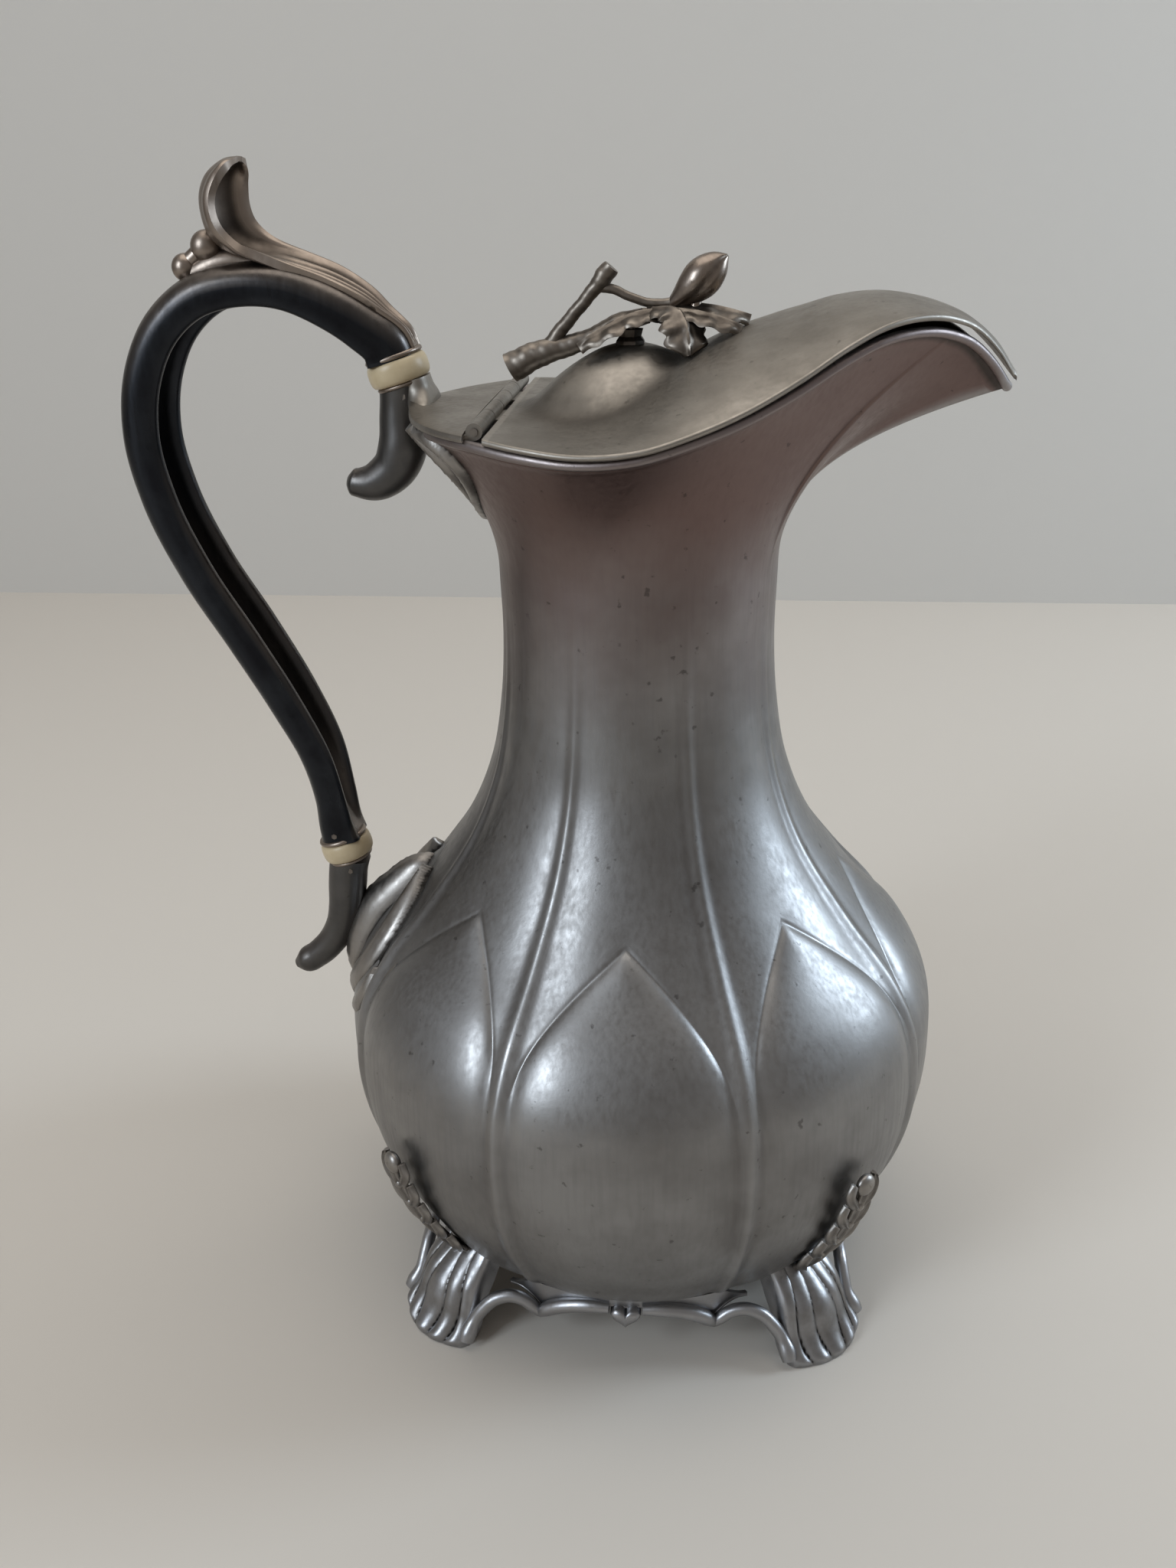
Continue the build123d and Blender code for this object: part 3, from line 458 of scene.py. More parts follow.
smooth_wall = np.concatenate([lower, mouth_wall(flares, turns)])
edge_line = LINE_RISE * bell((1 - flares) * climb - LINE_DOWN, LINE_HALF)
edge_line = np.concatenate([np.zeros(lower.shape[:2]), edge_line])
outside = smooth_wall + edge_line[..., None] * outward(smooth_wall)
edge_out = outward(mouth_wall(np.linspace(0.9, 1, 5)[:, None], turns))[-1]
edge_up = unit(edge[1] - edge[0])
rolls = np.radians(np.linspace(-55, 180, 11))[:, None, None]
rolled_edge = (edge[1] - ROLL_DOWN * edge_up - ROLL_IN * edge_out
               + ROLL_R * (np.cos(rolls) * edge_out + np.sin(rolls) * edge_up))
inside = (smooth_wall - WALL * outward(smooth_wall))[::-INSIDE_STEP]
inside = inside[inside[:, 0, 2] > BASE_Z + WALL + 0.4]
floor_edge = ringed(FLOOR_R, turns, BASE_Z)
floor_rings = np.stack([floor_edge + (0, 0, WALL), floor_edge])
piece("body_vessel", [ring_lump(np.concatenate([outside, rolled_edge, inside, floor_rings]), joined=True)],
      "body", "pewter_body", body_pewter, "body_shell", sharp=60, rounds=14)

# Floor: a disc of the same pewter sheet, let into the bottom and soldered round its edge. It lies
# out of sight between the feet, so it keeps the CAD model's shape.
refinish(body_pewter, "body_floor")

# Hinge: a crowned plate soldered across the back of the mouth and drawn up at its end to the handle's
# lug, and five knuckles on a wire between it and the lid. All of it is brown-grey pewter.
lid_pewter = worn_metal("lid_pewter", (0.3, 0.275, 0.245), (0.2, 0.182, 0.16), (0.08, 0.07, 0.06), 0.43,
                        cloud=12.0, pits=0.45, hollow=1.2)
hinge_wire = worn_metal("hinge_wire", (0.24, 0.215, 0.19), (0.15, 0.13, 0.115), (0.04, 0.035, 0.03), 0.42,
                        cloud=4.0)
refinish(lid_pewter, "fixed_knuckles", "lid_knuckles")
refinish(hinge_wire, "hinge_pin")
PLATE_FRONT_X, PLATE_SHEET, PLATE_R, PLATE_CROWN = -30.6, 1.2, MOUTH_R + 0.5, 1.3
FOLD_RISE, FOLD_X, FOLD_LONG, FOLD_WIDE = 2.4, -46.5, 4.4, 9.0
EDGE_BULGE = 0.8


def cover(xs, half, under, over):
    """A plate in sections across the jug: its top, a rounded edge, its underside back again, and the
    other edge. under and over give heights at x and y."""
    shares = np.sin(np.linspace(-1, 1, 91) * pi / 2)
    x = np.broadcast_to(xs[:, None], (len(xs), len(shares)))
    y = half[:, None] * shares[None, :]
    top = together(x, y, over(x, y))
    bottom = together(x, y, under(x, y))[:, ::-1]
    edges = []
    for side, start, end in ((1, top[:, -1], bottom[:, 0]), (-1, bottom[:, -1], top[:, 0])):
        middle, radius = (start + end) / 2, np.abs(start[:, 2] - end[:, 2])[:, None, None] / 2
        turn = side * np.radians(np.linspace(60, -60, 5))
        swing = together(0, side * np.cos(turn), np.sin(turn))
        edges.append(middle[:, None] + EDGE_BULGE * radius * swing[None])
    return ring_lump(top, edges[0], bottom, edges[1])


def plate_top(x, y):
    """The fixed plate swells in the middle and rises at its back end in a fold up to the lug."""
    inside = np.clip(1 - (x**2 + y**2) / PLATE_R**2, 0, 1)
    fold = FOLD_RISE * bell(x - FOLD_X, FOLD_LONG) * bell(y, FOLD_WIDE)
    return BACK_Z + PLATE_SHEET + PLATE_CROWN * np.sqrt(inside) + fold


plate_xs = np.linspace(0.2 - PLATE_R, PLATE_FRONT_X, 60)
plate_half = np.sqrt(np.maximum(PLATE_R**2 - plate_xs**2, 0.09))
piece("back_cover", [cover(plate_xs, plate_half, lambda x, y: BACK_Z, plate_top)],
      "body", "pewter_lid", lid_pewter, "back_plate")

# Lid: raised from one sheet, with a round boss over the jug's axis and a ridge out to the spout.
# Its edge rests over the rolled rim, and the same brown-grey pewter covers it.
LID_SHEET, LID_LAP, LID_BACK_X, LID_TIP_HALF = 1.2, 0.3, -26.3, 0.6
LID_GAP, SPOUT_GAP, GAP_GROWS = 0.4, 0.9, (5, 50)
BOSS_X, BOSS_EASE, FLAT_EDGE, FLAT_BACK = -1.5, 9.0, 4.0, 3.0
BOSS = [
    (0, 219.5), (3.6, 219.05), (6.5, 218.1), (9.9, 216.3), (13.1, 214.2), (16.4, 211.5), (19.7, 208),
    (22.5, 204), (30, 190)]
LID_CROWN = [
    (-26, 0), (-12, 0.5), (-2, 3), (8, 7.6), (18, 10), (28, 9), (38, 6.2), (48, 3), (58, 0.9), (66, 0.6),
    (72, 0.9), (76, 0.4)]


def lid_half_width(x):
    """Half width of the lid, a little more than the mouth's."""
    return np.maximum(mouth_half_width(x), LID_TIP_HALF) + LID_LAP


def lid_underside(x, y):
    """The crown between the edges, or the boss where that is higher, eased into each other."""
    rim = along(RIM_LINE, x) + LID_GAP + SPOUT_GAP * ramp(x, *GAP_GROWS)
    crown = rim + along(LID_CROWN, x) * (1 - (y / lid_half_width(x)) ** 2)
    boss = along(BOSS, np.hypot(x - BOSS_X, y))
    higher = (crown + boss + np.sqrt((crown - boss) ** 2 + BOSS_EASE)) / 2
    away = ramp(lid_half_width(x) - np.abs(y), 0.0, FLAT_EDGE) * ramp(x, LID_BACK_X, LID_BACK_X + FLAT_BACK)
    return crown + (higher - crown) * away


lid_xs = LID_BACK_X + (TIP_X + 0.2 - LID_BACK_X) * np.sin(np.linspace(0, 1, 190) ** 0.9 * pi / 2)
piece("lid_cover", [cover(lid_xs, lid_half_width(lid_xs), lid_underside,
                          lambda x, y: lid_underside(x, y) + LID_SHEET)],
      "lid", "pewter_lid", lid_pewter, "lid_plate", rounds=20)

# Finial: a cast cut branch with a twig and a tendril, a ragged leaf under it and a bud, held by a
# stud and nut through the boss. Its hollows carry painted shade and its edges a painted highlight;
# the bud is coppery.
finial_metal = worn_metal("finial_metal", (0.2, 0.175, 0.15), (0.095, 0.08, 0.068), (0.01, 0.008, 0.007),
                          0.40, cloud=5.0, streaks=0.1, pits=0.3, hollow=0.8)
bud_metal = worn_metal("bud_metal", (0.24, 0.2, 0.17), (0.13, 0.105, 0.088), (0.02, 0.014, 0.01), 0.30,
                       cloud=4.0, streaks=0.1, pits=0.1, hollow=0.4)
refinish(hinge_wire, "finial_stud", "finial_nut")
refinish(finial_metal, "finial_post")
KNOT_SPACING, KNOT_WAVES = 2.2, [(2.1, 1, 0.6), (5.3, -2, 0.4)]
LEAF_TEETH, VEIN_HALF, VEIN_SLANT = 4, 0.16, 0.12


def smooth_path(points, count):
    """Points of any number of values, passed through smoothly and spread evenly by length."""
    table = np.array(points, float)
    lengths = np.concatenate([[0], np.cumsum(np.linalg.norm(np.diff(table[:, :3], axis=0), axis=1))])
    return along(np.column_stack([lengths, table]), np.linspace(0, lengths[-1], count))


def sweep(path, sections, side=(0.0, 1.0, 0.0)):
    """Sections carried along a path: their first value is laid along side, their second across
    side and path."""
    tangent = unit(np.gradient(path, axis=0))
    across = unit(side - tangent * (tangent @ side)[:, None])
    rise = np.cross(tangent, across)
    return path[:, None] + sections[..., :1] * across[:, None] + sections[..., 1:] * rise[:, None]


def round_turn(count):
    """Angles spread evenly round a circle."""
    return np.linspace(0, 2 * pi, count, endpoint=False)


def stalk(points, count, knots=0.0, sides=20, side=(0.0, 1.0, 0.0)):
    """A round bar through points of (x, y, z, radius). knots is a share of its radius by which waves
    along and round it swell it."""
    table = smooth_path(points, count)
    turn = round_turn(sides)
    length = np.linspace(0, len(points) * KNOT_SPACING, count)[:, None]
    waves = sum(part * np.sin(a * length + b * turn) for a, b, part in KNOT_WAVES)
    radius = table[:, 3][:, None] * (1 + knots * waves)
    section = together(radius * np.cos(turn), radius * np.sin(turn))
    return ring_lump(sweep(table[:, :3], section, side))


def leaf_blade(path, half, up, vein=0.35, curl=0.0, thickness=1.3, teeth=0.0):
    """A cast leaf along a path: a thin blade with a raised middle vein, side veins that slant out
    to its teeth, and edges that drop by curl. up is the way its face looks."""
    u = np.linspace(-1, 1, 23)
    step = np.linspace(0, 1, len(path))[:, None]
    notch = np.abs(np.sin(pi * (LEAF_TEETH * step + 0.15)))
    half = half[:, None] * (1 - teeth * (1 - notch))
    swell = vein * bell(u, VEIN_HALF) - curl * u**2
    if teeth:
        side_veins = np.sin(2 * pi * LEAF_TEETH * (step - VEIN_SLANT * np.abs(u)))
        swell = swell + 0.5 * vein * side_veins * np.abs(u)
    sheet = thickness / 2 * np.sqrt(np.maximum(1 - u**2, 0.0)) ** 0.5
    top = together(half * u, swell + sheet)
    under = together(half * u, 0.6 * swell - sheet)
    ring = np.concatenate([top, under[:, ::-1][:, 1:-1]], axis=1)
    tangent = unit(np.gradient(path, axis=0))
    flat = unit(np.cross(tangent, up))
    rise = np.cross(flat, tangent)
    return ring_lump(path[:, None] + ring[..., :1] * flat[:, None] + ring[..., 1:] * rise[:, None])


stem = stalk([
    (-26.2, 0, 215.8, 3.1), (-23.5, 0, 217.2, 2.9), (-19.4, 0, 218.9, 2.6), (-15.3, 0, 219.9, 2.2),
    (-11.2, 0, 221.1, 1.95), (-8, 0, 222.4, 1.85), (-4.5, 0, 224.4, 1.8), (1.3, 0, 226, 1.4)], 60, 0.05)
second_branch = stalk([
    (-15.5, 1.2, 219.6, 1.8), (-9.5, 4.4, 221.4, 1.6), (-3.5, 5.6, 223.6, 1.4), (2, 4, 225, 1.1)], 30, 0.06)
twig = stalk([
    (-18.6, 0, 219.4, 1.7), (-15.5, 0, 223.4, 1.45), (-12.3, 0, 227, 1.35), (-8.6, 0, 231.2, 1.5),
    (-6.4, 0, 233.8, 1.9), (-5.2, 0, 235.2, 1.7)], 40, 0.07)
tendril = stalk([
    (-8.2, 0, 231.4, 1), (-5, 0, 231, 0.95), (-2, 0, 229.7, 0.9), (2, 0, 228.4, 0.9), (5.5, 0, 228.2, 1),
    (9.5, 0, 229, 1.2)], 40, 0.04, sides=14)
piece("finial_twigs", [stem, second_branch, twig, tendril], "lid", "finial_metal", finial_metal,
      "finial_branch", rounds=8)

LEAF_LOBES = [
    [(2, 0, 226.2, 3), (8, 0, 227, 4.6), (14, -0.5, 226.8, 4.6), (19, -1, 225.8, 3.4),
     (22.4, -1, 224.8, 0.8)],
    [(5, -2, 226.4, 2.8), (12, -4.5, 226, 3.4), (17.5, -6, 224.6, 2.8), (20.6, -6.6, 223.4, 0.7)],
    [(5, 2, 226.4, 2.8), (12, 5.5, 226, 3.4), (17.5, 8, 224.4, 2.8), (20.6, 9.5, 223, 0.7)],
    [(3, -1, 226.4, 3.2), (8, -4.5, 226.4, 4.6), (9.8, -7.5, 223.8, 5), (10.4, -9.3, 220.8, 3.6),
     (10.6, -9.9, 219.2, 0.8)],
    [(3, 1, 226.4, 3.2), (6.5, 6, 225.8, 4), (8.5, 10, 222.6, 3.4), (9.4, 12.2, 219.4, 0.7)],
    [(4, -1, 226.2, 3.2), (-1.5, -3.2, 225.4, 4), (-6.6, -5, 223, 3.6), (-11.2, -6.2, 220.2, 0.8)],
    [(4, 1, 226.2, 3.2), (-1.5, 4, 225.2, 3.8), (-6, 7.5, 222.6, 3), (-9, 10, 220, 0.7)]]
lobe_paths = [smooth_path(lobe, 44) for lobe in LEAF_LOBES]
lobes = [leaf_blade(path[:, :3], path[:, 3], (0, 0, 1), vein=0.6, curl=0.9, thickness=1.5, teeth=0.22)
         for path in lobe_paths]
piece("finial_leaves", lobes, "lid", "finial_metal", finial_metal, "finial_leaf", rounds=8)

BUD_ROWS, BUD_TWIST, BUD_FOLD = 48, 0.02, 0.12
bud = smooth_path([
    (6.5, 0, 227.8, 1), (8.4, 0, 229.2, 2.1), (10.4, 0, 230.9, 3.3), (12.6, 0, 232.8, 3.95),
    (14.8, 0, 234.7, 3.4), (16.6, 0, 236.2, 2), (17.8, 0, 237.1, 0.3)], BUD_ROWS)
bud_turn = round_turn(48)
bud_seams = np.abs(np.cos(1.5 * (bud_turn + BUD_TWIST * np.arange(BUD_ROWS)[:, None]) + 0.4)) ** 14
bud_radius = bud[:, 3][:, None] * (1 - BUD_FOLD * bud_seams)
bud_rings = together(bud_radius * np.cos(bud_turn), bud_radius * np.sin(bud_turn))
bud_post = stalk([(11.6, 0, 226.4, 1.5), (11.6, 0, 228.6, 1.2), (11.6, 0, 231.0, 1.5)], 12)
piece("finial_flower_bud", [ring_lump(sweep(bud[:, :3], bud_rings)), bud_post], "lid", "finial_metal",
      bud_metal, "finial_bud", rounds=8)

# Handle: a casting with near-black patina, rounded outside, and channelled on the side towards the jug.
# Its faces that look up are painted brown-grey, partly worn metal and partly a painted warm sheen. It
# is dowelled and riveted through the two washers.
handle_patina = worn_metal("handle_patina", (0.024, 0.026, 0.03), (0.012, 0.012, 0.014),
                           (0.004, 0.004, 0.005), 0.33, cloud=10.0, streaks=0.1, pits=0.15,
                           rubbed_and_sheen=(0.34, 0.285, 0.24))
HANDLE_PATH = [
    (-50.35, 217.75, 5, 5.9, 0), (-51.1, 220.2, 4.9, 6.1, 0), (-55.7, 224.6, 4.7, 6.8, 0),
    (-62, 228.8, 4.6, 7.4, 0.3), (-71, 232.4, 4.3, 7.8, 0.8), (-80, 233, 4.2, 7.9, 1),
    (-90.2, 230.5, 4.3, 8, 1), (-97.5, 224.7, 4.4, 8, 1), (-102.9, 215, 4.5, 8, 1), (-105, 203, 4.55, 8, 1),
    (-103, 189.3, 4.6, 8, 1), (-97, 173.6, 4.6, 8, 1), (-88, 157.2, 4.6, 8, 1), (-80.2, 142, 4.5, 7.6, 1),
    (-74.8, 129, 4.2, 6.8, 0.9), (-72.6, 117.4, 4.1, 5.8, 0.5), (-71.9, 109.8, 4.6, 5.3, 0.1),
    (-71.3, 106.9, 4.9, 5.3, 0)]
GRIP_OUTLINE = [
    (0, -1), (0.32, -0.975), (0.6, -0.88), (0.82, -0.66), (0.95, -0.34), (0.995, 0), (1, 0.3),
    (0.995, 0.56), (0.97, 0.8), (0.9, 0.96), (0.79, 1), (0.68, 0.92), (0.6, 0.68), (0.55, 0.3),
    (0.47, -0.08), (0.32, -0.27), (0, -0.33)]
CLOSED_OUTLINE = GRIP_OUTLINE[:9] + [
    (0.9, 0.92), (0.79, 0.98), (0.67, 1), (0.54, 1), (0.4, 1), (0.27, 1), (0.14, 1), (0, 1)]


def through(points, count):
    """A smooth line through points, with as many steps between each two of them."""
    return along([(i, *p) for i, p in enumerate(points)], np.linspace(0, len(points) - 1, count))


def full_outline(points):
    """A closed section from its right-hand half."""
    half = through(points, 47)
    return np.concatenate([half, half[-2:0:-1] * (-1, 1)])


grip = smooth_path([(x, 0.0, z, thick, wide, open_) for x, z, thick, wide, open_ in HANDLE_PATH], 240)
channel = np.clip(grip[:, 5], 0, 1)[:, None, None]
grip_section = full_outline(CLOSED_OUTLINE) * (1 - channel) + full_outline(GRIP_OUTLINE) * channel
piece("handle_scroll", [ring_lump(sweep(grip[:, :3], grip_section * grip[:, [4, 3]][:, None]))], "body",
      "handle_metal", handle_patina, "handle_grip", rounds=20)

# Thumb leaf: a deep spoon-shaped leaf with a thick lip, cast with the handle's top, for the thumb
# that opens the lid. It is slit towards the washer, and two round berries lie against its back.
# Rubbed to a brown satin inside.
thumb_patina = worn_metal("thumb_patina", (0.235, 0.195, 0.165), (0.15, 0.122, 0.1), (0.016, 0.012, 0.01),
                          0.36, cloud=8.0, streaks=0.15, pits=0.2, hollow=0.4)
SPINE = [
    (-45.9, 0, 220.3), (-47.7, 0, 223.8), (-51.6, 0, 227.4), (-55.7, 0, 230.8), (-62, 0, 234.1),
    (-69.8, 0, 236.7), (-77, 0, 238), (-82.4, 0, 239.6), (-85.6, 0, 242.4), (-86.6, 0, 246.5),
    (-86.4, 0, 250.3), (-84.8, 0, 253.4), (-81.6, 0, 255.6), (-79, 0, 256)]
NEAR_LIP = [
    (-46.4, -2.5, 220.1), (-48, -2.8, 223.7), (-52.1, -3.8, 227.1), (-56.5, -4.6, 230.3),
    (-62.8, -5.2, 233.5), (-70, -5.8, 236.2), (-76.6, -6, 238.9), (-79.4, -6.2, 240.5), (-82, -6.4, 243.3),
    (-83.1, -6.4, 246.4), (-82.9, -6.2, 249.5), (-81.5, -5.6, 252.5), (-79.8, -4, 254.8),
    (-78.7, -1, 255.9)]
FAR_LIP = [
    (-46.3, 2.5, 220.3), (-47.8, 2.8, 223.5), (-51.6, 3.8, 227), (-55.4, 4.6, 230.8), (-61, 5.2, 234.6),
    (-67, 5.8, 237.2), (-73.2, 6, 239.8), (-76.5, 6.2, 241.9), (-78.8, 6.4, 244.5), (-79.7, 6.4, 247.7),
    (-79.5, 6.2, 251.4), (-79, 5.6, 253.6), (-78.6, 4, 255.2), (-78.4, 1, 255.9)]
SPOON_ROWS, SPOON_SHEET = 130, 0.5
LIP_ROLL, LIP_AT, LIP_HALF, LIP_ENDS = 0.55, 0.9, 0.13, (0.9, 0.98)
SLIT_DEPTH, SLITS_AT, SLIT_HALF = 1.5, (-0.5, 0.0, 0.5), 0.14
SLIT_STARTS, SLIT_ENDS = (0.01, 0.05), (0.26, 0.46)
spine, near, far = (through(line, SPOON_ROWS)[:, None] for line in (SPINE, NEAR_LIP, FAR_LIP))
across = np.linspace(-1, 1, 41)[:, None]
share = np.linspace(0, 1, SPOON_ROWS)[:, None, None]
spoon = spine + across * (far - near) / 2 + across**2 * ((far + near) / 2 - spine)
facing = -unit(np.cross(np.gradient(spoon, axis=0), np.gradient(spoon, axis=1)))
lip = SPOON_SHEET + LIP_ROLL * bell(np.abs(across) - LIP_AT, LIP_HALF) * (1 - ramp(share, *LIP_ENDS))
slits = sum(bell(across - at, SLIT_HALF) for at in SLITS_AT) * (1 - ramp(share, *SLIT_ENDS))
slits = slits * ramp(share, *SLIT_STARTS)
spoon_rings = [spoon + facing * (lip - SLIT_DEPTH * slits), (spoon - facing * (lip + slits))[:, ::-1]]
piece("thumb_rest", [ring_lump(*spoon_rings)], "body", "handle_metal", thumb_patina,
      "thumb_leaf", rounds=36)


def ball_lump(centre, sizes):
    """A round lump with a half size for each direction."""
    tilt = np.radians(np.linspace(-88, 88, 15))[:, None]
    turn = round_turn(24)
    return ring_lump(centre + sizes * ringed(np.cos(tilt), turn, np.sin(tilt)))


berries = [ball_lump((-87.4, 0, 239.9), (3.3, 3.2, 3.3)), ball_lump((-92.4, 0, 236.0), (2.8, 2.8, 2.8)),
           stalk([(-88.5, 0, 239.2, 1.9), (-91.8, 0, 236.6, 1.9)], 8),
           stalk([(-78, 0, 236.6, 2.2), (-83, 0, 236.9, 2.6), (-88, 0, 235.7, 2.6), (-92, 0, 234.2, 1.8)],
                 16)]
piece("thumb_berry_pair", berries, "body", "handle_metal", thumb_patina, "thumb_berries")

# Washers: turned ivory or bone discs that keep the heat from the handle, each between two thin
# lips of bright metal on the handle's end and on the tail.
PALE_IVORY, WARM_IVORY, IVORY_ROUGH, IVORY_GRAIN = (0.58, 0.48, 0.32), (0.42, 0.33, 0.2), 0.38, 350.0
ivory, ivory_shader = new_finish("ivory")
ivory_shader.inputs["Roughness"].default_value = IVORY_ROUGH
ivory_tree = ivory.node_tree
ivory_place = add_node(ivory_tree, "TexCoord", {}).outputs["Object"]
ivory_grain = add_node(ivory_tree, "TexNoise",
                       {"Vector": ivory_place, "Scale": IVORY_GRAIN, "Detail": 5.0}).outputs["Fac"]
ivory_mix = add_node(ivory_tree, "Mix", {0: ivory_grain, 6: WARM_IVORY, 7: PALE_IVORY},
                     data_type="RGBA")
ivory_tree.links.new(ivory_mix.outputs[2], ivory_shader.inputs["Base Color"])
WASHERS = {"upper": ((-49.7, 0.0, 215.6), (0.29, 0.0, -0.957), 6.5),
           "lower": ((-70.7, 0.0, 104.4), (0.28, 0.0, -0.96), 6.15)}
WASHER_HALF = 2.4
WASHER_ROUND = [(WASHER_HALF, 0.02), (WASHER_HALF, 0.84), (2.2, 0.915), (1.7, 0.965), (0.9, 0.995)]
WASHER_PROFILE = [(-d, r) for d, r in WASHER_ROUND] + [(0, 1)] + WASHER_ROUND[::-1]
LIP_PROFILE = [(0, 0.3), (0, 0.93), (0.25, 0.99), (0.6, 1), (0.95, 0.97), (1.15, 0.9), (1.15, 0.3)]
UPPER_LIP, LOWER_LIP, LOWER_LIP_THIN = 0.95, 0.86, 0.8


def turned(centre, axis, profile):
    """A turned form: a profile of (distance along the axis, radius) carried round it."""
    axis = unit(np.array(axis, float))
    side = np.array([0.0, 1.0, 0.0])
    other = np.cross(axis, side)
    turn = round_turn(64)[None, :, None]
    step, radius = np.array(profile, float).T[:, :, None, None]
    return ring_lump(centre + step * axis + radius * (np.cos(turn) * side + np.sin(turn) * other))


for name, (centre, axis, radius) in WASHERS.items():
    disc = turned(centre, axis, [(d, r * radius) for d, r in WASHER_PROFILE])
    lips = [turned(centre, axis, [(-WASHER_HALF - d, r * radius * UPPER_LIP) for d, r in LIP_PROFILE]),
            turned(centre, axis, [(WASHER_HALF + d * LOWER_LIP_THIN, r * radius * LOWER_LIP)
                                  for d, r in LIP_PROFILE])]
    piece(f"{name}_washer", [disc], "body", "ivory_washer", ivory, f"{name}_insulator", sharp=70)
    piece(f"{name}_lips", lips, "body", "handle_metal", thumb_patina, sharp=70)

# Tails: dark scrolled castings that come down from each washer and curl away from the body. Square
# dowels and rivets, which keep the CAD model's shape, hold them through the washers.
# The tails' faces that look up are painted a lighter brown, partly worn metal and partly a painted sheen.
tail_patina = worn_metal("tail_patina", (0.085, 0.082, 0.08), (0.04, 0.038, 0.037), (0.008, 0.007, 0.007),
                         0.38, cloud=8.0, streaks=0.1, pits=0.3, rubbed_and_sheen=(0.2, 0.17, 0.15))
upper_tail = stalk([
    (-49, 0, 213.3, 4.9), (-49.3, 0, 210, 4.7), (-49.6, 0, 206, 4.8), (-49.9, 0, 200, 5.2),
    (-52, 0, 195.5, 4.8), (-57, 0, 192.3, 4), (-60.4, 0, 192.2, 3.1), (-61.6, 0, 192.4, 2.7),
    (-62.5, 0, 192.6, 1.2)], 70, sides=32)
lower_tail = stalk([
    (-70, 0, 102.1, 4.8), (-70.7, 0, 99.4, 4.7), (-71.5, 0, 94, 4.65), (-72.3, 0, 88, 4.4),
    (-74, 0, 82.5, 3.9), (-77, 0, 77.4, 3.6), (-81, 0, 73.4, 3.4), (-84.6, 0, 71.2, 2.9),
    (-86.6, 0, 70.4, 1.2)], 80, sides=32)
piece("upper_tail", [upper_tail], "body", "handle_metal", tail_patina, "upper_socket")
piece("lower_tail", [lower_tail], "body", "handle_metal", tail_patina, "lower_socket")
refinish(hinge_wire, "upper_dowel", "lower_dowel", "upper_rivets", "lower_rivets")

# Neck mount: a cast lug between the back plate and the upper washer, over bands of long leaves that
# lie on the neck and end in a spear point. Cast pewter, soldered on, with painted shade between the
# leaves.
trim_pewter = worn_metal("trim_pewter", (0.25, 0.235, 0.22), (0.155, 0.142, 0.132), (0.016, 0.014, 0.012),
                         0.38, cloud=5.0, streaks=0.1, pits=0.2, hollow=0.4)
RELIEF_SUNK, RELIEF_BACK = 0.9, 1.1
FOLD_HEIGHT, FOLD_SHARP, LEAF_FALL, LEAF_WAVE = 0.6, 0.16, 0.3, 0.2
BOXY = 0.85


def neck_back(z):
    """Radius of the wall at the back, from the neck up to the rim."""
    share = np.clip((z - NECK_Z) / (BACK_Z - NECK_Z), 0, 1)
    return NECK_R + (MOUTH_R - NECK_R) * share**FLARE_POWER


def wall_slope(wall, z):
    """How fast a wall's radius grows with height."""
    return (wall(z + 0.1) - wall(z - 0.1)) / 0.2


def relief_casting(wall, half_turn, low, high, leaves, columns, rows):
    """A relief on the back wall, at each place as high as the highest of its leaves. A leaf, points of
    (degrees, z, lift, half width), falls from a sharp fold on its spine to its edges, and between
    the leaves the relief sinks into the wall."""
    z = np.linspace(low, high, rows)[:, None]
    degrees = np.linspace(-half_turn, half_turn, columns)
    reach, slope = wall(z[:, 0])[:, None], wall_slope(wall, z[:, 0])[:, None]
    steep = np.sqrt(1 + np.mean(slope**2))
    height = np.full((rows, columns), -RELIEF_SUNK)
    for points in leaves:
        line = through(points, 70)
        away = np.hypot(np.radians(degrees[..., None] - line[:, 0]) * reach[..., None],
                        (z[..., None] - line[:, 1]) * steep) / line[:, 3]
        share, lift = np.clip(np.min(away, axis=-1), 0, 1), line[np.argmin(away, axis=-1), 2]
        leaf = lift * (1 - LEAF_FALL * share) + FOLD_HEIGHT * np.exp(-share / FOLD_SHARP)
        leaf = leaf - LEAF_WAVE * np.cos(10 * share) * (1 - share)
        leaf = leaf * (1 - share**5) - RELIEF_SUNK * share**5
        height = np.maximum(height, np.where(share < 1, leaf, -RELIEF_SUNK))
    turn = pi + np.radians(degrees)
    normal, base = unit(ringed(1, turn, -slope)), ringed(reach, turn, z)
    return ring_lump(base + height[..., None] * normal, (base - RELIEF_BACK * normal)[:, ::-1])


def both_sides(leaves):
    """Leaves of a relief, each made once to either side."""
    return [[(side * degrees, *rest) for degrees, *rest in leaf] for leaf in leaves for side in (-1, 1)]


def rounded_box(half_x, half_y):
    """An outline between an oval and a rectangle."""
    t = round_turn(36)
    c, s = np.cos(t), np.sin(t)
    return together(half_x * np.sign(c) * np.abs(c) ** BOXY, half_y * np.sign(s) * np.abs(s) ** BOXY)


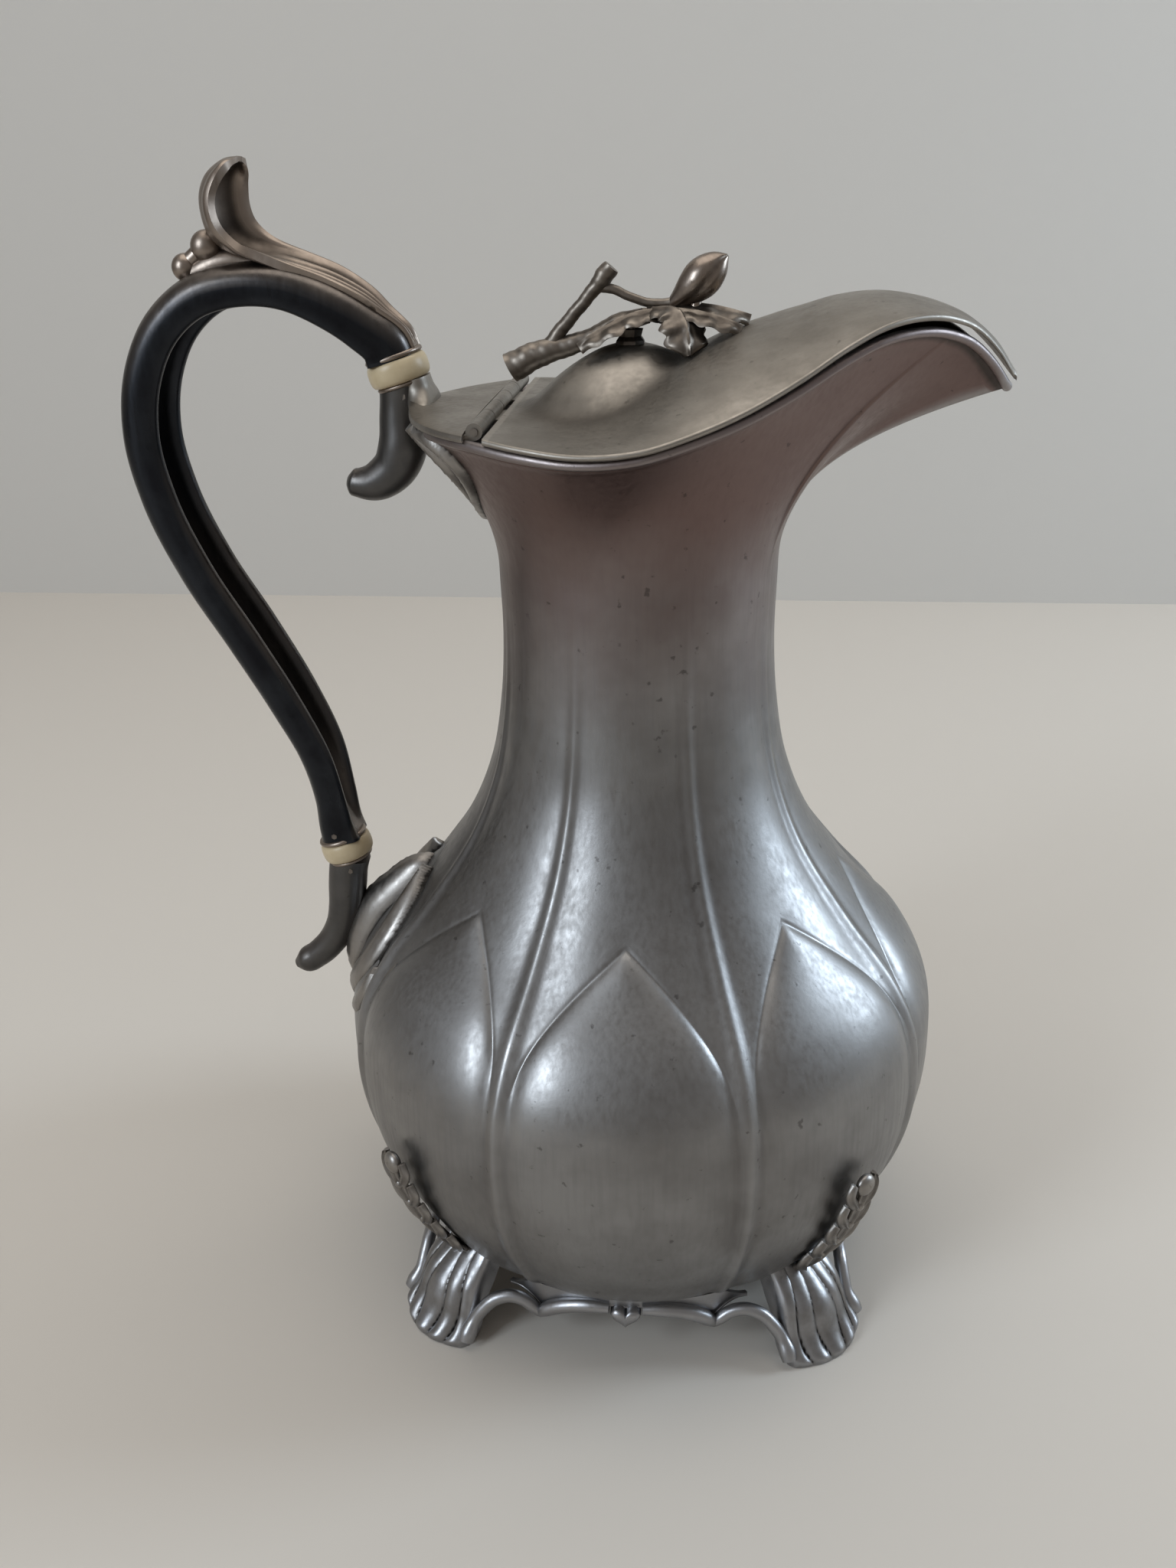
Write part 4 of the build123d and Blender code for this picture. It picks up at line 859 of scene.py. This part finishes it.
lug = smooth_path([
    (-44.4, 0, 206.5, 12, 2), (-44.4, 0, 208.4, 9.6, 2.8), (-44.8, 0, 210, 6.8, 3.1),
    (-45.4, 0, 212, 5, 2.8), (-45.9, 0, 214.2, 4.6, 2.6)], 24)
lug_lump = ring_lump(sweep(lug[:, :3], np.stack([rounded_box(*halves) for halves in lug[:, 3:]])))
piece("washer_lug", [lug_lump], "body", "cast_trim", lid_pewter)
NECK_LEAVES = [
    [(0, 208, 2.6, 5), (0, 203, 3.6, 5.6), (0, 197, 3.2, 5), (0, 191, 1.8, 3.4), (0, 186, 0.8, 0.8)],
    [(0, 207, 0.3, 24), (0, 202, 0.3, 24), (0, 197, 0.3, 17), (0, 191, 0.3, 8)]] + both_sides([
        [(14, 208, 2.2, 1.6), (19, 203.5, 2.4, 1.8), (20, 198, 2.2, 1.6), (12, 190.5, 1.5, 1.1),
         (3, 185.5, 0.8, 0.8)],
        [(22, 207, 1.6, 1.4), (31, 205, 1.8, 1.6), (34, 200.5, 1.7, 1.6), (28, 194.5, 1.4, 1.3),
         (15, 188.5, 1.1, 1), (8, 186, 0.8, 0.8)]])
piece("neck_mount", [relief_casting(neck_back, 42, 184.0, 207.1, NECK_LEAVES, columns=121, rows=71)],
      "body", "cast_trim", trim_pewter, "neck_leaf_mount", sharp=40, rounds=20)

# Lower mount: a fan of long acanthus leaves that climbs the belly from the lower tail, each with a
# sharp fold along its middle. Cast pewter, soldered on.
FAN_LEAVES = [
    [(0, 68, 1.5, 5), (0, 76, 5, 6.6), (0, 86, 6.6, 6.6), (0, 94, 5.6, 5.4), (0, 98.5, 4.4, 3.8),
     (0, 102, 1.5, 0.8)]] + both_sides([
         [(5, 69, 1, 4), (10, 75, 1.7, 4.6), (14, 82, 1.7, 4.6), (14.5, 89, 1.7, 4.4), (12, 95.5, 2.4, 3.6),
          (8, 102, 2.4, 0.8)],
         [(8, 67, 0.3, 2.6), (15, 71, 0.5, 3), (19, 77, 0.4, 2.6), (20.5, 84, 0.2, 0.6)]])


def belly_wall(z):
    """Radius of the wall below the neck, through the middle of a panel."""
    return along(MERIDIAN, z)


piece("lower_mount", [relief_casting(belly_wall, 27, 65.0, 108.0, FAN_LEAVES, columns=111, rows=91)],
      "body", "cast_trim", trim_pewter, "lower_leaf_mount", sharp=40, rounds=20)

# Feet: four cast feet, each an ogee that flares to the toe, with rounded reeds down its face that
# swing sideways and swell into lobes at the toe. Cast pewter, soldered under the body.
cast_pewter = worn_metal("cast_pewter", (0.3, 0.3, 0.31), (0.2, 0.192, 0.185), (0.018, 0.016, 0.014), 0.36,
                         cloud=7.0, streaks=0.1, pits=0.2, hollow=0.4)
FOOT_ANGLES = {"front_left": -45, "front_right": 45, "back_left": -135, "back_right": 135}
FOOT_TOP_Z = 19.8
FOOT_FACE = [
    (0, 70.4), (1, 70.3), (3, 68.6), (6, 67), (9.5, 65.8), (13, 63.7), (16, 60.5), (18.5, 57.6),
    (FOOT_TOP_Z, 56.6)]
FOOT_WIDTH = [(0, 11.4), (2.4, 11.6), (5, 11), (9, 10.2), (13, 9.4), (16.4, 8.6), (FOOT_TOP_Z, 8)]
FOOT_INNER = [(0, 66), (2.4, 64.8), (5, 63.4), (9, 61.4), (13, 57), (16.4, 53.4), (FOOT_TOP_Z, 55.2)]
FOOT_ROUND_LOW, FOOT_ROUND_TOP, FOOT_SHEET = 4.6, 1.6, 0.6
REEDS, REED_DEPTH, REED_FULL, REED_SWING, REED_SWING_Z = 5, 0.95, 0.55, 0.16, 17
TOE_Z, TOE_HALF = 2.7, 2.2
SIDE_BEVEL, SIDE_DEPTH = 0.06, 1.2


def foot_lump():
    """One foot facing +X: level rings with the reeded face outside and a plain inside."""
    z = np.concatenate([np.linspace(0, 4, 14), np.linspace(4.4, FOOT_TOP_Z, 44)])[:, None]
    u = np.linspace(-1, 1, 81)
    bow = FOOT_ROUND_LOW + (FOOT_ROUND_TOP - FOOT_ROUND_LOW) * ramp(z, 9, 19)
    swung = u - REED_SWING * np.sin(pi * np.clip(z / REED_SWING_Z, 0, 1)) * np.sin(pi * u)
    reed = np.abs(np.cos(pi * REEDS / 2 * swung)) ** REED_FULL
    fade = ramp(z, -0.4, 1.8) * (1 - 0.7 * ramp(z, 13, FOOT_TOP_Z))
    relief = (REED_DEPTH * (reed - 0.7) + bell(z - TOE_Z, TOE_HALF) * (reed - 0.35)) * fade
    bevel = 1 - np.clip(1 - np.abs(u), 0, SIDE_BEVEL) / SIDE_BEVEL
    half = along(FOOT_WIDTH, z[:, 0])[:, None]
    face = along(FOOT_FACE, z[:, 0])[:, None] - bow * u**2 + relief - SIDE_DEPTH * bevel**2
    outer = together(face, half * u, z)
    v = np.linspace(1, -1, 15)
    inner = together(along(FOOT_INNER, z[:, 0])[:, None] - bow * v**2, (half - FOOT_SHEET) * v, z)
    return ring_lump(outer, inner)


def spun(lump, degrees):
    """A lump turned about the jug's axis."""
    points, faces = lump
    c, s = cos(radians(degrees)), sin(radians(degrees))
    return points @ np.array([[c, s, 0.0], [-s, c, 0.0], [0.0, 0.0, 1.0]]), faces


for name, angle in FOOT_ANGLES.items():
    piece(f"cast_foot_{name}", [spun(foot_lump(), angle)], "body", "cast_feet", cast_pewter, f"foot_{name}",
          rounds=8)

# Apron: a cut band under the belly on each side, with a heart-shaped pendant in its middle and two
# cusps. A rounded bar follows its edge from the heart to each cusp and swings on to the foot. Cast
# pewter, in one with the feet.
APRON_ANGLES = {"left": -90, "front": 0, "right": 90, "back": 180}
APRON_EDGE = [
    (0, 14.2), (5, 14.6), (9, 14.4), (13.5, 13.5), (17.5, 12), (20.3, 10.4), (21.7, 9.6), (23, 10.6),
    (25.4, 12.2), (28.4, 13), (31, 12.6)]
APRON_HALF, APRON_IN, APRON_OUT, APRON_TOP_Z, APRON_DROP, APRON_DROPS = 31, 53.0, 54.0, 17.2, 3.0, (23, 31)
EDGE_R, EDGE_UP, OUTSIDE_ENDS, INSIDE_STARTS = 0.5, 0.7, 1.0, 1.2
ARCH = [
    (4, 54.4, 15.1, 1.3), (9, 54.5, 15, 1.7), (13.5, 54.6, 14.1, 1.8), (17.5, 54.8, 12.5, 1.8),
    (20.3, 55, 10.6, 1.6), (21.8, 55.1, 9.1, 1)]
ARCH_TO_FOOT = [
    (21.6, 55.1, 9.2, 1), (23, 55.3, 10.4, 1.4), (25.4, 55.8, 12.1, 1.5), (28.4, 57, 12.9, 1.55),
    (31.4, 59, 12, 1.6), (33.6, 61.2, 9.2, 1.6), (34.8, 63, 6.2, 1.6), (35, 65, 3.4, 2),
    (34.9, 66, 1.9, 1.7)]
HEART_HALF, HEART_Z, HEART_R = 3.5, 13.4, 54.6
HEART_CROWN = [(1, -1.4), (1, 0.5), (0.85, 1.25), (0.55, 1.65), (0.2, 1.75)]


def apron_lump():
    """The cut band of one side of the apron about +X: closed sections from its top down the
    outside, round its lower edge, and up the inside."""
    degrees = np.linspace(-APRON_HALF, APRON_HALF, 241)
    lower = along(APRON_EDGE, np.abs(degrees))[:, None]
    top = APRON_TOP_Z - APRON_DROP * ramp(np.abs(degrees), *APRON_DROPS)[:, None]
    shares = np.array([0.0, 0.35, 0.7, 0.9])
    turn = np.radians(np.linspace(60, -180, 9))
    start = lower + INSIDE_STARTS
    down = together(APRON_OUT, top + (lower + OUTSIDE_ENDS - top) * shares)
    edge = together(APRON_IN + EDGE_R + EDGE_R * np.cos(turn), lower + EDGE_UP + EDGE_R * np.sin(turn))
    rise, close = together(APRON_IN, start + (top - start) * shares), together(APRON_IN, top)
    r, z = np.moveaxis(np.concatenate([down, edge, rise[:, 1:], close], axis=1), -1, 0)
    return ring_lump(ringed(r, np.radians(degrees)[:, None], z))


def arch_lump(stations, side):
    """A round bar along points of (degrees, radius, z, size) about the jug's axis."""
    degrees, r, z, size = np.array(stations).T
    points = np.column_stack([ringed(r, side * np.radians(degrees), z), size])
    return stalk(points, 60, side=(0.0, 0.0, 1.0))


def heart_lump():
    """The pendant: a heart's outline, repeated smaller and further out to give it a crown."""
    t = round_turn(60)
    size, out = np.array(HEART_CROWN).T[:, :, None]
    across = HEART_HALF * np.sin(t) ** 3
    rise = HEART_HALF / 16 * (13 * np.cos(t) - 5 * np.cos(2 * t) - 2 * np.cos(3 * t) - np.cos(4 * t)) * 0.85
    return ring_lump(together(HEART_R + out, size * across, HEART_Z + size * rise))


for name, angle in APRON_ANGLES.items():
    bars = [arch_lump(line, side) for side in (-1, 1) for line in (ARCH, ARCH_TO_FOOT)]
    piece(f"cut_apron_{name}", [spun(lump, angle) for lump in (apron_lump(), heart_lump(), *bars)], "body",
          "cast_feet", cast_pewter, f"apron_{name}", rounds=8)

# Sprays: a narrow openwork leaf casting up the belly over each foot, of paired leaflets on a knobbly
# stem, whose top end stands off the wall. Cast pewter, soldered on.
MM_PER_DEGREE = 0.9
SPRAY_STEM = [(0, 18.5, 1, 3.2), (0, 26, 1.6, 2), (0, 34, 2, 1.6), (0, 44, 2.8, 1.5), (0, 53.6, 3.8, 1)]
LEAFLETS, FIRST_Z, STEP_Z, FIRST_LIFT, STEP_LIFT, STEP_SIZE = 5, 19.5, 6.6, 1.3, 0.45, 0.05
KNOB_ABOVE, KNOB_OUT, KNOB = 6.4, 0.9, (1.2, 1.3, 1.3)
TOP_KNOB_PLACE, TOP_KNOB = (73.4, 0.0, 52.2), (1.5, 2.6, 2.6)


def wall_leaf(points, count, **look):
    """A leaf on the body's wall, along points of (degrees, z, lift off the wall, half width). The
    degrees count about the jug's axis from +X towards +Y."""
    table = smooth_path([(d * MM_PER_DEGREE, z, lift, half) for d, z, lift, half in points], count)
    turn, z, lift = np.radians(table[:, 0] / MM_PER_DEGREE), table[:, 1], table[:, 2]
    normal = unit(ringed(1, turn, -wall_slope(belly_wall, z)))
    return leaf_blade(ringed(belly_wall(z), turn, z) + lift[:, None] * normal, table[:, 3], normal, **look)


spray = [wall_leaf(SPRAY_STEM, 60, vein=0.6, thickness=1.8)]
for step in range(LEAFLETS):
    z, lift, size = FIRST_Z + STEP_Z * step, FIRST_LIFT + STEP_LIFT * step, 1.0 - STEP_SIZE * step
    for side in (-1, 1):
        leaflet = [(0, z, lift, 1.4), (side * 2.2 * size, z + 2.2, lift + 0.6, 1.6 * size),
                   (side * 3.8 * size, z + 5.6, lift + 0.3, 1.4 * size),
                   (side * 3.2 * size, z + 8.0, lift, 0.4)]
        spray.append(wall_leaf(leaflet, 26, vein=0.5, curl=0.5))
    knob_r = belly_wall(z + KNOB_ABOVE) + lift + KNOB_OUT
    spray.append(ball_lump((knob_r, 0.0, z + KNOB_ABOVE), KNOB))
spray.append(ball_lump(TOP_KNOB_PLACE, TOP_KNOB))
for name, angle in FOOT_ANGLES.items():
    piece(f"leaf_spray_{name}", [spun(lump, angle) for lump in spray], "body", "cast_trim", trim_pewter,
          f"spray_{name}", rounds=8)
